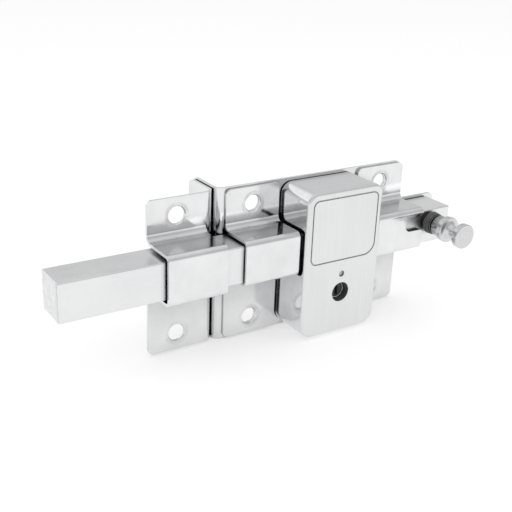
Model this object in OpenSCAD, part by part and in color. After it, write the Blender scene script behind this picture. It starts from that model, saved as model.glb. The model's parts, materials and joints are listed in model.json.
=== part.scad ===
// Surface bar lock: a square bar slides in two bridge guides on a base plate,
// a key-driven dog locks it from inside the case, and a strike takes its tip.
// X runs along the bar, the front faces -Y, Z is up. The origin is the centre
// of the four door bolts, on the door's face. "Depth" is the distance in front
// of the door's face, so a depth d lies at y = -d.

/* [Bar] */
// Side of the square bar
bar_side = 25.4; // [24:0.2:27]
// Length of the bar
bar_length = 300; // [280:1:330]
// Height of the bar's axis over the origin
bar_height = 10; // [8:0.5:12]
// Chamfer along the bar's edges
bar_chamfer = 0.6; // [0.3:0.1:1]
// Gap between the bar and the base plate
gap_back = 0.4; // [0.3:0.1:0.8]
// Gap between the bar and the front wall of a guide
gap_front = 0.8; // [0.3:0.1:1]
// Gap under the bar in a guide
gap_below = 0.4; // [0.3:0.1:1]
// Gap over the bar in a guide
gap_above = 1.2; // [0.3:0.1:2]
// Travel from the photographed place to the full throw on the left
throw_left = 18.9; // [16:0.1:18.9]
// Travel from the photographed place to the drawn-back place on the right
throw_right = 118; // [110:1:118]

/* [Sheet metal] */
// Thickness of the base plate, guides, case and strike
sheet = 2; // [1.6:0.1:2.4]
// Inner radius where a flange turns into a bridge
bridge_foot = 4.5; // [3:0.5:6]
// Outer radius where a bridge turns into its front wall
bridge_shoulder = 4; // [3:0.5:5]
// Depth of the return flanges behind the door's face
return_depth = 30; // [20:1:40]

/* [Base plate] */
// Height of the base plate
plate_height = 108; // [107:1:114]
// Outer radius of the bend into the return flange
plate_bend = 6; // [4:0.5:6]
// Radius of the plate's free corners
plate_corner = 5; // [2:0.5:6]
// Length of the tongue behind the bar's end
tongue_length = 35; // [25:1:45]
// Height of the tongue over and under the bar
tongue_margin = 1.8; // [1:0.1:4]
// Radius of the tongue's corners
tongue_corner = 4; // [2:0.5:6]

/* [Guides] */
// Width of a guide along the bar
guide_width = 41.5; // [36:0.5:42]
// Height of a guide
guide_height = 106; // [100:1:106]
// Radius of the flange corners
guide_corner = 4; // [2:0.5:6]
// Distance between the two guides' centres
guide_spacing = 108; // [108:1:112]
// Diameter of the door bolts' holes
bolt_hole = 11.5; // [8:0.5:12]
// Vertical distance between the door bolts
bolt_rise = 82; // [78:1:86]
// Countersink at the rim of a bolt hole
hole_break = 0.6; // [0.3:0.1:0.9]
// Height of the U-shaped notch in the right guide
notch_height = 10.6; // [10.4:0.1:12]
// Length of the U-shaped notch
notch_length = 16.6; // [12:0.1:20]
// Distance of the notch's axis over the knob's axis
notch_rise = 1.1; // [0:0.1:1.1]
// Radius of the two corners at the notch's mouth
notch_mouth = 2.5; // [1:0.1:4]

/* [Case] */
// Width of the case
case_width = 62.5; // [60:0.5:63]
// Height of the case
case_height = 104; // [100:1:106]
// Depth of the case's front face
case_front = 34.5; // [34:0.5:38]
// Radius of the upper corners
case_top_corner = 8; // [5:0.5:10]
// Radius of the lower corners
case_low_corner = 9.5; // [5:0.5:10]
// Gap between the side openings and the bar's guides, all round
case_gap = 1; // [0.5:0.1:1.5]
// Gap between the case's rim and the base plate
case_lift = 1; // [0.3:0.1:1.5]
// Width of the framed panel
panel_width = 54.5; // [48:0.5:56]
// Height of the framed panel
panel_height = 45.5; // [40:0.5:48]
// Distance of the panel from the top of the case
panel_drop = 4.8; // [4:0.1:6]
// Corner radius of the panel
panel_corner = 5; // [3:0.5:8]
// Radius of the panel's lower right corner
panel_low_right = 9; // [5:0.5:12]
// Width of the groove round the panel
groove_width = 0.9; // [0.5:0.1:1.5]
// Depth of the groove
groove_depth = 0.5; // [0.3:0.1:0.8]
// Diameter of the small blind dimple
dimple = 4.4; // [3:0.2:5]
// Depth of the dimple
dimple_depth = 1.2; // [0.5:0.1:1.4]
// Distance of the dimple over the keyhole
dimple_rise = 13.5; // [12:0.5:15]

/* [Key cylinder] */
// Diameter of the round keyhole in the case
keyhole = 14; // [12:0.5:15]
// Distance of the keyhole under the origin
key_drop = 22; // [22:0.5:23]
// Diameter of the cylinder
cylinder_size = 25; // [24:0.5:25]
// Diameter of the cylinder's neck
neck_size = 22; // [20:0.5:22]
// Diameter of the plug
plug_size = 10.4; // [10:0.1:11]
// Radial gap round the plug
plug_gap = 0.05; // [0.02:0.01:0.1]
// Width of the keyway
keyway_width = 2.4; // [1.6:0.1:2.8]
// Height of the keyway
keyway_height = 7.5; // [6:0.1:8]
// Number of pin tumblers
pins = 4; // [3:1:4]
// Distance between the tumblers
pin_pitch = 3; // [2.8:0.1:3]
// Diameter of a tumbler
pin_size = 2.4; // [2:0.1:2.5]

/* [Dog and cam] */
// Width of the dog where it enters the bar
dog_width = 12; // [10:0.5:13]
// Width of the dog between its rails
dog_body = 22; // [21:0.5:23]
// Thickness of the dog
dog_thickness = 5; // [4:0.5:5]
// Depth of the dog's head
dog_head = 9; // [7:0.5:9]
// Gap between the lowered dog and the bar
dog_rest = 0.5; // [0.4:0.1:0.8]
// Gap round the dog in a notch of the bar and between its rails
dog_gap = 0.3; // [0.2:0.1:0.5]
// Distance of the cam's pin from the plug's axis
cam_throw = 6; // [5.5:0.1:6.2]
// Turn of the key in degrees
key_turn = 60; // [50:1:60]
// Diameter of the cam's pin
cam_pin_size = 4; // [3:0.5:4]
// Radial gap of the cam's pin in its slot
cam_pin_gap = 0.15; // [0.1:0.01:0.2]
// Thickness of the cam
cam_thickness = 3.7; // [3.4:0.1:3.7]
// Width of a rail
rail_width = 6; // [5:0.5:6]
// Thickness of a rail's lip
rail_lip = 2; // [1.5:0.1:2.2]

/* [Knob] */
// Distance of the knob from the bar's right end
knob_inset = 19.5; // [17:0.5:22]
// Height of the knob's axis over the bar's axis
knob_rise = 4; // [3:0.5:5]
// Diameter of the stud
stud_size = 8; // [7:0.1:8]
// Depth of the stud in the bar
stud_sink = 14; // [10:1:18]
// Diameter of the buffer at its back
buffer_size = 16.2; // [15:0.2:17]
// Diameter of the buffer at its front
buffer_front = 15.4; // [14:0.2:17]
// Length of the buffer
buffer_length = 4.7; // [4:0.1:6]
// Number of ribs on the buffer
buffer_ribs = 4; // [3:1:4]
// Diameter of the washer
washer_size = 14; // [12:0.5:15]
// Thickness of the washer
washer_thickness = 1; // [0.8:0.1:1.5]
// Diameter of the knob's barrel
barrel_size = 18.4; // [16:0.2:20]
// Diameter of the barrel's back part
barrel_back = 15; // [14.5:0.5:16]
// Diameter of the neck
knob_neck = 8; // [7.6:0.2:9]
// Diameter of the button
button_size = 17.6; // [15:0.2:19]
// Length of the knob
knob_length = 28; // [26:0.5:30]
// Thickness of the button
button_thickness = 4.6; // [3:0.1:5]

/* [Strike] */
// Gap between the two return flanges
strike_gap = 0.8; // [0.6:0.1:4]
// Outer radius of the bend into the return flange
strike_bend = 7; // [4:0.5:8]
// Gap over and under the bar in the strike
strike_play = 2.2; // [1:0.1:3]
// Gap between the bar and the front wall of the strike
strike_clear = 1.6; // [0.5:0.1:2]

/* [Fixings] */
// Distance of the case's posts from the case's sides
post_inset_x = 9.25; // [8:0.25:11]
// Distance of the case's posts from the case's top and bottom
post_inset_z = 9; // [8:0.5:10]
// Diameter of the case's posts
post_size = 8; // [7:0.5:9]
// Diameter of the case's screws
screw_size = 4.2; // [3.5:0.1:4.5]
// Diameter of the countersunk heads
screw_head = 8.8; // [7.5:0.1:9.2]
// Length of the case's screws in their posts
screw_grip = 12; // [8:0.5:16]
// Distance of the cylinder plate's posts from the case's sides
stand_inset = 9.25; // [8.5:0.25:9.25]
// Diameter of the cylinder plate's posts
stand_size = 7; // [6:0.5:7]
// Gap between the cylinder plate and the case's posts
post_clear = 0.8; // [0.3:0.1:1]
// Diameter of the rivets in the rails
rivet_size = 3.6; // [3:0.2:4]
// Diameter of the stud that stops the bar
stop_size = 5.6; // [4:0.2:7]

/* [Hidden] */
$fn = 64;
eps = 0.01;
cut = 1;

chrome = [0.86, 0.87, 0.89];
satin = [0.74, 0.75, 0.77];
bright_steel = [0.80, 0.81, 0.82];
dark_steel = [0.35, 0.36, 0.38];
brass = [0.80, 0.66, 0.36];
black_rubber = [0.08, 0.08, 0.09];

// The bar and the bridges over it
bar_back = sheet + gap_back;
bar_front = bar_back + bar_side;
bar_half = bar_side / 2;
bridge_front = bar_front + gap_front + sheet;
guide_over = bar_half + gap_above + sheet;
guide_under = bar_half + gap_below + sheet;
guide_x = guide_spacing / 2;
plate_edge = guide_x + guide_width / 2;
strike_over = bar_half + strike_play + sheet;
strike_front = bar_front + strike_clear + sheet;
post_x = case_width / 2 - post_inset_x;
post_z = case_height / 2 - post_inset_z;
stand_x = case_width / 2 - stand_inset;
tongue_root = 10;
slot_depth = 0.8;
slot_width = 1;

// The knob stands one throw right of its place in the guide's notch
stud_gap = 0.15;
notch_end = plate_edge - notch_length + notch_height / 2;
knob_x = notch_end + stud_gap + throw_left;
bar_right = knob_x + knob_inset;
bar_left = bar_right - bar_length;

// The key cylinder, from its neck to the case
key_z = -key_drop;
dog_back = bar_back;
cylinder_gap = 0.3;
cam_clear = 0.1;
neck_length = 4.2;
plug_r = plug_size / 2;
cylinder_front = case_front - sheet - cylinder_gap;
cylinder_back = dog_back + dog_head + dog_gap + cam_clear;
cylinder_step = cylinder_back + neck_length;
recess_depth = 3.6;
recess_r = plug_r + 1;
plug_front = cylinder_front - recess_depth;
plug_collar = 1.1;
plug_collar_r = plug_r + 0.6;
keyway_length = 12;
tail_side = 6;
tail_length = 1.8;
pin_r = pin_size / 2;
pin_first = plug_front - 2.1;
key_pin_length = 3.6;
key_pin_step = 0.3;
driver_length = 2.6;
spring_length = 3.1;
spring_gap = 0.1;
spring_wall = 0.4;
cap_thickness = 1.1;
cap_width = 4.4;
cap_end = 1.4;
stand_step = 1;
stand_margin = 5;
neck_margin = 4.5;
plate_screw_r = screw_size / 2 - 0.2;
plate_head_r = 3.6;
plate_head = 2.4;
plate_screw_grip = cylinder_step - 2 * sheet - 2;

// The cam and the dog
cam_front = cylinder_back - cylinder_gap;
cam_back = cam_front - cam_thickness;
cam_rim = 1.5;
cam_pin_back = 1;
cam_r = cam_throw + cam_pin_size / 2 + cam_rim;
cam_screw_r = 1.5;
cam_head_r = 3.4;
cam_screw_length = 5;
cam_start = -key_turn / 2;
dog_lift = 2 * cam_throw * sin(key_turn / 2);
dog_top = bar_height - bar_half - dog_rest;
dog_neck = 8.8;
dog_tail = 14;
dog_shoulder = dog_top - dog_neck;
dog_low = key_z - dog_tail;
dog_head_low = dog_top - dog_lift;
slot_z = key_z + cam_throw * sin(cam_start);
slot_end = 0.5;
slot_from = cam_throw * cos(cam_start) - slot_end;
slot_to = cam_throw + slot_end;
notch_over = 1;
notch_cut = dog_lift - dog_rest + notch_over;
rail_x = dog_body / 2 + dog_gap;
rail_low = dog_low - 1;
rail_high = dog_shoulder - 1;
rail_cover = 1.5;
rail_front = dog_back + dog_thickness + dog_gap + rail_lip;
rivet_x = rail_x + rail_width / 2 + 0.2;
rivet_z = (rail_low + rail_high) / 2;
rivet_offset = 8;
rivet_head = 1.2;

// The knob on the bar
knob_z = bar_height + knob_rise;
buffer_gap = 0.5;
buffer_back = bridge_front + buffer_gap;
washer_back = buffer_back + buffer_length;
knob_back = washer_back + washer_thickness;
knob_front = knob_back + knob_length;
barrel_step = knob_back + 8;
barrel_front = knob_back + 12.9;
thread_length = 10;
thread_r = stud_size / 2 - 1;
flank_height = 3;
flank_step = 2;
button_back = knob_front - button_thickness;
spigot_r = 5.5;
spigot_length = 1.5;
edge_break = 0.8;

// The stop stud runs in a groove on the back of the bar
stop_r = stop_size / 2;
stop_groove = 3;
stop_gap = 0.4;
stop_play = 0.3;

// Flat work in the plane of the door, drawn in X and Z
module slab(depth, thickness)
    translate([0, -depth, 0]) rotate([90, 0, 0]) linear_extrude(thickness) children();

// A profile drawn in depth and Z, drawn out along X from its centre
module along_bar(x, width)
    translate([x, 0, 0]) rotate([90, 0, 90]) linear_extrude(width, center = true)
        mirror([1, 0, 0]) children();

// A round pin that points to the front
module rod(x, z, depth, length, r)
    translate([x, -depth, z]) rotate([90, 0, 0]) cylinder(h = length, r = r);

// A round taper that points to the front
module taper(x, z, depth, length, r_back, r_front)
    translate([x, -depth, z]) rotate([90, 0, 0]) cylinder(h = length, r1 = r_back, r2 = r_front);

// What rounds one corner of a flat outline off; a radius of 0 leaves it square
module corner_waste(x, z, r)
    if (r > 0)
        translate([x, z]) mirror([x > 0 ? 1 : 0, 0]) mirror([0, z > 0 ? 1 : 0])
            translate([-cut, -cut]) difference() {
                square(r + cut);
                translate([r + cut, r + cut]) circle(r = r);
            }

// A flat rectangle with its own radius at each corner
module rounded(width, height, top_left, top_right, low_left, low_right)
    difference() {
        square([width, height], center = true);
        corner_waste(-width / 2, height / 2, top_left);
        corner_waste(width / 2, height / 2, top_right);
        corner_waste(-width / 2, -height / 2, low_left);
        corner_waste(width / 2, -height / 2, low_right);
    }

// A quarter bend of sheet about a centre, in the quadrant that the signs name
module bend(x, z, r_out, sign_x, sign_z)
    translate([x, z]) intersection() {
        difference() {
            circle(r = r_out);
            circle(r = r_out - sheet);
        }
        translate([sign_x > 0 ? 0 : -r_out, sign_z > 0 ? 0 : -r_out]) square(r_out);
    }

// Half of a bridge, from its flange to the bar's axis, drawn in depth and Z
module half_bridge(foot, front, over, edge) {
    translate([foot, over + bridge_foot]) square([sheet, edge - over - bridge_foot]);
    bend(foot + sheet + bridge_foot, over + bridge_foot, bridge_foot + sheet, -1, -1);
    translate([foot + sheet + bridge_foot, over - sheet])
        square([front - bridge_shoulder - foot - sheet - bridge_foot, sheet]);
    bend(front - bridge_shoulder, over - bridge_shoulder, bridge_shoulder, 1, 1);
    translate([front - sheet, 0]) square([sheet, over - bridge_shoulder]);
}

// A whole bridge over the bar, from its flange's depth to its front's
module bridge(x, foot, front, over, under)
    along_bar(x, guide_width) translate([0, bar_height]) {
        half_bridge(foot, front, over, guide_height / 2 - bar_height);
        mirror([0, 1]) half_bridge(foot, front, under, guide_height / 2 + bar_height);
    }

// A bolt hole with a broken rim at the front
module bolt_holes(x, front)
    for (z = [-bolt_rise / 2, bolt_rise / 2]) {
        rod(x, z, -cut, front + 2 * cut, bolt_hole / 2);
        taper(x, z, front - hole_break, hole_break + eps, bolt_hole / 2, bolt_hole / 2 + hole_break);
    }

// A countersunk head under the back face of the base plate, with its shank
module countersunk(x, z, head, shank, length) {
    taper(x, z, 0, sheet, head / 2, shank / 2);
    rod(x, z, sheet - eps, length - sheet + eps, shank / 2);
}

// A bend and a return flange, drawn in X and Y; side is -1 for the left
module return_flange(x, r_out, side, height) {
    translate([0, 0, -height / 2]) linear_extrude(height) {
        bend(x, r_out - sheet, r_out, side, -1);
        translate([side > 0 ? x + r_out - sheet : x - r_out, r_out - sheet])
            square([sheet, return_depth - r_out + sheet]);
    }
}

// What rounds the far corners of a return flange off
module return_waste(x, height)
    for (s = [-1, 1])
        translate([x, return_depth, s * height / 2]) rotate([90, 0, 90])
            linear_extrude(4 * sheet, center = true) mirror([1, 0]) mirror([0, s > 0 ? 1 : 0])
                translate([-cut, -cut]) difference() {
                    square(plate_corner + cut);
                    translate([plate_corner + cut, plate_corner + cut]) circle(r = plate_corner);
                }

module guide(side)
    difference() {
        intersection() {
            bridge(side * guide_x, sheet, bridge_front, guide_over, guide_under);
            translate([side * guide_x, 0, 0]) slab(0, bridge_front + cut)
                rounded(guide_width, guide_height, guide_corner, guide_corner, guide_corner, guide_corner);
        }
        bolt_holes(side * guide_x, 2 * sheet);
    }

module base_plate()
    color(chrome) difference() {
        union() {
            slab(0, sheet)
                rounded(2 * plate_edge, plate_height, 0, plate_corner, 0, plate_corner);
            slab(0, sheet) translate([plate_edge + (tongue_length - tongue_root) / 2, bar_height])
                rounded(tongue_length + tongue_root, 2 * (bar_half + tongue_margin),
                    0, tongue_corner, 0, tongue_corner);
            return_flange(-plate_edge, plate_bend, -1, plate_height);
        }
        return_waste(-plate_edge - plate_bend, plate_height);
        for (side = [-1, 1])
            bolt_holes(side * guide_x, sheet);
        case_screw_set();
        plate_post_set();
        rail_rivet_set();
        stop_stud_shape();
    }

module left_guide()
    color(chrome) guide(-1);

module right_guide()
    color(chrome) difference() {
        guide(1);
        slab(bridge_front - bridge_shoulder, bridge_shoulder + cut) knob_notch();
    }

// The U-shaped notch that takes the knob's stud at full throw
module knob_notch()
    translate([0, knob_z + notch_rise]) {
        translate([notch_end, 0]) circle(r = notch_height / 2);
        translate([notch_end, -notch_height / 2]) square([notch_length, notch_height]);
        for (s = [0, 1])
            mirror([0, s]) translate([plate_edge - notch_mouth, notch_height / 2])
                difference() {
                    translate([0, -cut]) square(notch_mouth + cut);
                    translate([0, notch_mouth]) circle(r = notch_mouth);
                }
    }

// The opening in each side wall, cut to the outline of the guides
module side_opening() {
    over = guide_over + case_gap;
    under = guide_under + case_gap;
    front = bridge_front + case_gap;
    along_bar(0, case_width + 2 * cut) translate([0, bar_height]) {
        difference() {
            translate([0, -under]) square([front, over + under]);
            translate([front, over]) mirror([1, 0]) mirror([0, 1]) side_round();
            translate([front, -under]) mirror([1, 0]) side_round();
        }
        translate([0, over]) side_flare();
        translate([0, -under]) mirror([0, 1]) side_flare();
    }
}

module side_round()
    translate([-cut, -cut]) difference() {
        square(bridge_shoulder + cut);
        translate([bridge_shoulder + cut, bridge_shoulder + cut]) circle(r = bridge_shoulder);
    }

module side_flare()
    difference() {
        square([2 * sheet + bridge_foot, bridge_foot]);
        translate([2 * sheet + bridge_foot, bridge_foot]) circle(r = bridge_foot);
    }

module case_outline(inset)
    rounded(case_width - 2 * inset, case_height - 2 * inset, case_top_corner - inset,
        case_top_corner - inset, case_low_corner - inset, case_low_corner - inset);

module panel_outline(inset)
    rounded(panel_width - 2 * inset, panel_height - 2 * inset, panel_corner - inset,
        panel_corner - inset, panel_corner - inset, panel_low_right - inset);

module lock_case()
    color(satin) difference() {
        slab(sheet + case_lift, case_front - sheet - case_lift) case_outline(0);
        slab(sheet, case_front - 2 * sheet) case_outline(sheet);
        side_opening();
        rod(0, key_z, case_front - sheet - cut, sheet + 2 * cut, keyhole / 2);
        rod(0, key_z + dimple_rise, case_front - dimple_depth, dimple_depth + cut, dimple / 2);
        slab(case_front - groove_depth, groove_depth + cut)
            translate([0, (case_height - panel_height) / 2 - panel_drop]) difference() {
                panel_outline(0);
                panel_outline(groove_width);
            }
    }

module case_posts()
    color(bright_steel) for (x = [-post_x, post_x], z = [-post_z, post_z])
        difference() {
            rod(x, z, sheet, case_front - 2 * sheet, post_size / 2);
            rod(x, z, sheet - cut, screw_grip + 3 * cut, screw_size / 2);
        }

module case_screw_set()
    for (x = [-post_x, post_x], z = [-post_z, post_z])
        countersunk(x, z, screw_head, screw_size, sheet + screw_grip);

module case_screws()
    color(bright_steel) difference() {
        case_screw_set();
        for (x = [-post_x, post_x], z = [-post_z, post_z])
            translate([x - screw_head / 2, -slot_depth, z - slot_width / 2])
                cube([screw_head, slot_depth + cut, slot_width]);
    }

module strike() {
    flat_right = -plate_edge - plate_bend - strike_gap - strike_bend;
    center_x = flat_right - guide_width / 2;
    color(chrome) difference() {
        union() {
            intersection() {
                bridge(center_x, 0, strike_front, strike_over, strike_over);
                translate([center_x, 0, 0]) slab(-cut, strike_front + 2 * cut)
                    rounded(guide_width, guide_height, guide_corner, 0, guide_corner, 0);
            }
            return_flange(flat_right, strike_bend, 1, guide_height);
        }
        return_waste(flat_right + strike_bend, guide_height);
        bolt_holes(center_x, sheet);
    }
}

module lock_bar()
    color(satin) difference() {
        translate([(bar_left + bar_right) / 2, -bar_back - bar_half, bar_height]) rotate([90, 0, 90])
            linear_extrude(bar_length, center = true) difference() {
                square(bar_side, center = true);
                for (a = [0:90:270])
                    rotate(a) translate([bar_half, bar_half]) rotate(45)
                        square([bar_chamfer * sqrt(2), 3 * bar_side], center = true);
            }
        for (x = [throw_left, 0, -throw_right])
            dog_pocket(x);
        stop_track();
        rod(knob_x, knob_z, bar_front - stud_sink, stud_sink + cut, stud_size / 2);
    }

// A pocket under the bar, open to the back, that the dog's head enters
module dog_pocket(x) {
    half = dog_width / 2 + dog_gap;
    translate([x - half, -(dog_back + dog_head + dog_gap), bar_height - bar_half - cut])
        cube([2 * half, dog_head + dog_gap + cut, notch_cut + cut]);
}

// The groove that the stop stud runs in, one stud's gap past each end of the travel
module stop_track() {
    from = -throw_right - stop_play;
    to = throw_left + stop_play;
    r = stop_r + stop_play;
    rod(from, bar_height, bar_back - cut, stop_groove + cut, r);
    rod(to, bar_height, bar_back - cut, stop_groove + cut, r);
    translate([from, -bar_back - stop_groove, bar_height - r])
        cube([to - from, stop_groove + cut, 2 * r]);
}

module stop_stud_shape()
    countersunk(0, bar_height, stop_size + 2 * sheet, stop_size, bar_back + stop_groove - stop_gap);

module stop_stud()
    color(bright_steel) stop_stud_shape();

module knob_stud()
    color(bright_steel) {
        rod(knob_x, knob_z, bar_front - stud_sink, knob_back - bar_front + stud_sink, stud_size / 2);
        rod(knob_x, knob_z, knob_back - eps, thread_length, thread_r);
    }

// A turned piece on the knob's axis, drawn in radius and depth
module turned()
    translate([knob_x, 0, knob_z]) rotate([90, 0, 0]) rotate_extrude() children();

module knob_buffer() {
    rib = buffer_length / buffer_ribs;
    color(black_rubber) turned() difference() {
        polygon([[stud_size / 2, buffer_back], [buffer_size / 2, buffer_back],
            [buffer_front / 2, washer_back], [stud_size / 2, washer_back]]);
        for (i = [1:buffer_ribs - 1])
            translate([buffer_size / 2 + (buffer_front - buffer_size) / 2 * i / buffer_ribs,
                buffer_back + i * rib]) circle(r = 0.4, $fn = 16);
    }
}

module knob_washer()
    color(chrome) turned()
        translate([stud_size / 2, washer_back]) square([(washer_size - stud_size) / 2, washer_thickness]);

module pull_knob()
    color(chrome) turned() difference() {
        knob_profile();
        translate([-cut, knob_back - cut]) square([thread_r + cut, thread_length + cut - eps]);
    }

module knob_profile() {
    back_r = barrel_back / 2;
    wide_r = barrel_size / 2;
    neck_r = knob_neck / 2;
    button_r = button_size / 2;
    translate([0, knob_back]) square([spigot_r, spigot_length + eps]);
    polygon([[0, knob_back + spigot_length], [back_r - edge_break, knob_back + spigot_length],
        [back_r, knob_back + spigot_length + edge_break], [back_r, barrel_step],
        [wide_r, barrel_step + edge_break], [wide_r, barrel_front - edge_break],
        [wide_r - edge_break, barrel_front], [0, barrel_front]]);
    difference() {
        polygon([[0, barrel_front - eps], [wide_r - edge_break, barrel_front - eps],
            [wide_r - edge_break, button_back - flank_height],
            [button_r - flank_step, button_back + eps], [0, button_back + eps]]);
        knob_hollow(neck_r, wide_r);
    }
    polygon([[0, button_back], [button_r - edge_break, button_back],
        [button_r, button_back + edge_break], [button_r, knob_front - edge_break],
        [button_r - edge_break, knob_front], [0, knob_front]]);
}

// The hollow flank between the barrel and the button, a quarter round and a step
module knob_hollow(neck_r, wide_r) {
    flank = wide_r - edge_break - neck_r;
    translate([neck_r + flank, barrel_front + flank]) circle(r = flank);
    translate([neck_r, barrel_front + flank])
        square([2 * flank, button_back - barrel_front - flank - flank_step / 2]);
}

module cylinder_body()
    color(brass) difference() {
        union() {
            rod(0, key_z, cylinder_back, cylinder_front - cylinder_back, neck_size / 2);
            rod(0, key_z, cylinder_step, cylinder_front - cylinder_step, cylinder_size / 2);
        }
        rod(0, key_z, cylinder_back - cut, cylinder_front - cylinder_back, plug_r + plug_gap);
        rod(0, key_z, plug_front, recess_depth + cut, recess_r);
        for (i = [0:pins - 1])
            translate([0, -pin_first + i * pin_pitch, key_z - cylinder_size / 2])
                cylinder(h = cylinder_size / 2 - plug_r + cut, r = pin_r + plug_gap);
        cap_shape(cut);
    }

// The strip that closes the tumblers' chambers
module cap_shape(out) {
    chamber = driver_length + spring_length + 2 * spring_gap;
    low = key_z - plug_r - plug_gap - chamber - cap_thickness;
    length = (pins - 1) * pin_pitch + 2 * cap_end;
    translate([-cap_width / 2, -pin_first - cap_end, low - out])
        cube([cap_width, length, cap_thickness + out]);
}

module cylinder_cap()
    color(brass) cap_shape(0);

module driver_pins()
    color(brass) for (i = [0:pins - 1])
        translate([0, -pin_first + i * pin_pitch, key_z - plug_r - plug_gap - driver_length])
            cylinder(h = driver_length, r = pin_r);

module pin_springs()
    color(bright_steel) for (i = [0:pins - 1])
        translate([0, -pin_first + i * pin_pitch,
            key_z - plug_r - plug_gap - driver_length - spring_length - spring_gap])
            difference() {
                cylinder(h = spring_length, r = pin_r);
                translate([0, 0, -cut]) cylinder(h = spring_length + 2 * cut, r = pin_r - spring_wall);
            }

module cylinder_plate()
    color(bright_steel) difference() {
        slab(cylinder_step - sheet, sheet) translate([0, key_z])
            rounded(2 * (stand_x + stand_margin), neck_size + 2 * neck_margin,
                stand_margin, stand_margin, stand_margin, stand_margin);
        rod(0, key_z, cylinder_step - sheet - cut, sheet + 2 * cut, neck_size / 2);
        for (x = [-stand_x, stand_x])
            rod(x, key_z, cylinder_step - sheet - cut, sheet + 2 * cut, plate_screw_r);
        for (x = [-post_x, post_x])
            rod(x, -post_z, cylinder_step - sheet - cut, sheet + 2 * cut,
                post_size / 2 + post_clear);
    }

module plate_post_set()
    for (x = [-stand_x, stand_x])
        rod(x, key_z, 0, sheet + eps, stand_size / 2 - stand_step);

module plate_posts()
    color(bright_steel) difference() {
        union() {
            plate_post_set();
            for (x = [-stand_x, stand_x])
                rod(x, key_z, sheet, cylinder_step - 2 * sheet, stand_size / 2);
        }
        for (x = [-stand_x, stand_x])
            rod(x, key_z, cylinder_step - plate_screw_grip - 2 * cut, cylinder_step, plate_screw_r);
    }

module plate_screws()
    color(bright_steel) for (x = [-stand_x, stand_x])
        difference() {
            union() {
                rod(x, key_z, cylinder_step - plate_screw_grip, plate_screw_grip + eps, plate_screw_r);
                rod(x, key_z, cylinder_step, plate_head, plate_head_r);
            }
            translate([x - 2 * plate_head_r, -cylinder_step - plate_head - cut, key_z - slot_width / 2])
                cube([4 * plate_head_r, slot_depth + cut, slot_width]);
        }

module key_plug()
    color(brass) difference() {
        union() {
            rod(0, key_z, cam_front, plug_front - cam_front + plug_collar, plug_r);
            rod(0, key_z, plug_front + plug_gap, plug_collar, plug_collar_r);
            translate([-tail_side / 2, -cam_front - eps, key_z - tail_side / 2])
                cube([tail_side, tail_length, tail_side]);
        }
        translate([-keyway_width / 2, -plug_front - plug_collar - cut, key_z - keyway_height / 2])
            cube([keyway_width, keyway_length, keyway_height]);
        for (i = [0:pins - 1])
            translate([0, -pin_first + i * pin_pitch, key_z - plug_r - cut])
                cylinder(h = plug_r, r = pin_r + plug_gap);
        rod(0, key_z, cam_back, cam_thickness + cam_screw_length, cam_screw_r);
    }

module key_pins()
    color(brass) for (i = [0:pins - 1])
        translate([0, -pin_first + i * pin_pitch, key_z - plug_r + plug_gap])
            cylinder(h = key_pin_length - key_pin_step * (i % 2), r = pin_r);

module drive_cam()
    color(bright_steel) difference() {
        rod(0, key_z, cam_back, cam_thickness, cam_r);
        translate([-tail_side / 2, -cam_front - eps, key_z - tail_side / 2])
            cube([tail_side, tail_length + eps, tail_side]);
        taper(0, key_z, cam_back - eps, cam_thickness - tail_length + 2 * eps, cam_head_r, cam_screw_r);
        cam_pin_shape();
    }

module cam_pin_shape()
    rod(cam_throw * cos(cam_start), key_z + cam_throw * sin(cam_start), dog_back + cam_pin_back,
        cam_front - cam_pin_back - dog_back - cam_pin_back, cam_pin_size / 2);

module cam_pin()
    color(bright_steel) cam_pin_shape();

module cam_screw()
    color(bright_steel) difference() {
        union() {
            taper(0, key_z, cam_back, cam_thickness - tail_length, cam_head_r, cam_screw_r);
            rod(0, key_z, cam_front - tail_length - eps, cam_screw_length, cam_screw_r);
        }
        translate([-cam_head_r - cut, -cam_back - slot_depth, key_z - slot_width / 2])
            cube([2 * (cam_head_r + cut), slot_depth + cut, slot_width]);
    }

module locking_dog()
    color(bright_steel) {
        slab(dog_back, dog_thickness) difference() {
            union() {
                translate([-dog_body / 2, dog_low]) square([dog_body, dog_shoulder - dog_low]);
                translate([-dog_width / 2, dog_shoulder - eps])
                    square([dog_width, dog_top - dog_shoulder + eps]);
            }
            for (x = [slot_from, slot_to])
                translate([x, slot_z]) circle(r = cam_pin_size / 2 + cam_pin_gap);
            translate([slot_from, slot_z - cam_pin_size / 2 - cam_pin_gap])
                square([slot_to - slot_from, cam_pin_size + 2 * cam_pin_gap]);
        }
        slab(dog_back, dog_head) translate([-dog_width / 2, dog_head_low])
            square([dog_width, dog_top - dog_head_low]);
    }

module dog_rails()
    color(bright_steel) difference() {
        for (s = [-1, 1])
            mirror([s > 0 ? 0 : 1, 0, 0]) {
                translate([rail_x, -rail_front, rail_low])
                    cube([rail_width, rail_front - sheet, rail_high - rail_low]);
                translate([rail_x - rail_cover, -rail_front, rail_low])
                    cube([rail_cover + eps, rail_lip, rail_high - rail_low]);
            }
        rail_rivet_set();
    }

module rail_rivet_set()
    for (x = [-rivet_x, rivet_x], z = [-rivet_offset, rivet_offset])
        countersunk(x, rivet_z + z, rivet_size + 2 * rivet_head, rivet_size, rail_front);

module rail_rivets()
    color(bright_steel) {
        rail_rivet_set();
        for (x = [-rivet_x, rivet_x], z = [-rivet_offset, rivet_offset])
            taper(x, rivet_z + z, rail_front - eps, rivet_head,
                rivet_size / 2 + rivet_head, rivet_size / 2);
    }

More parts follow.
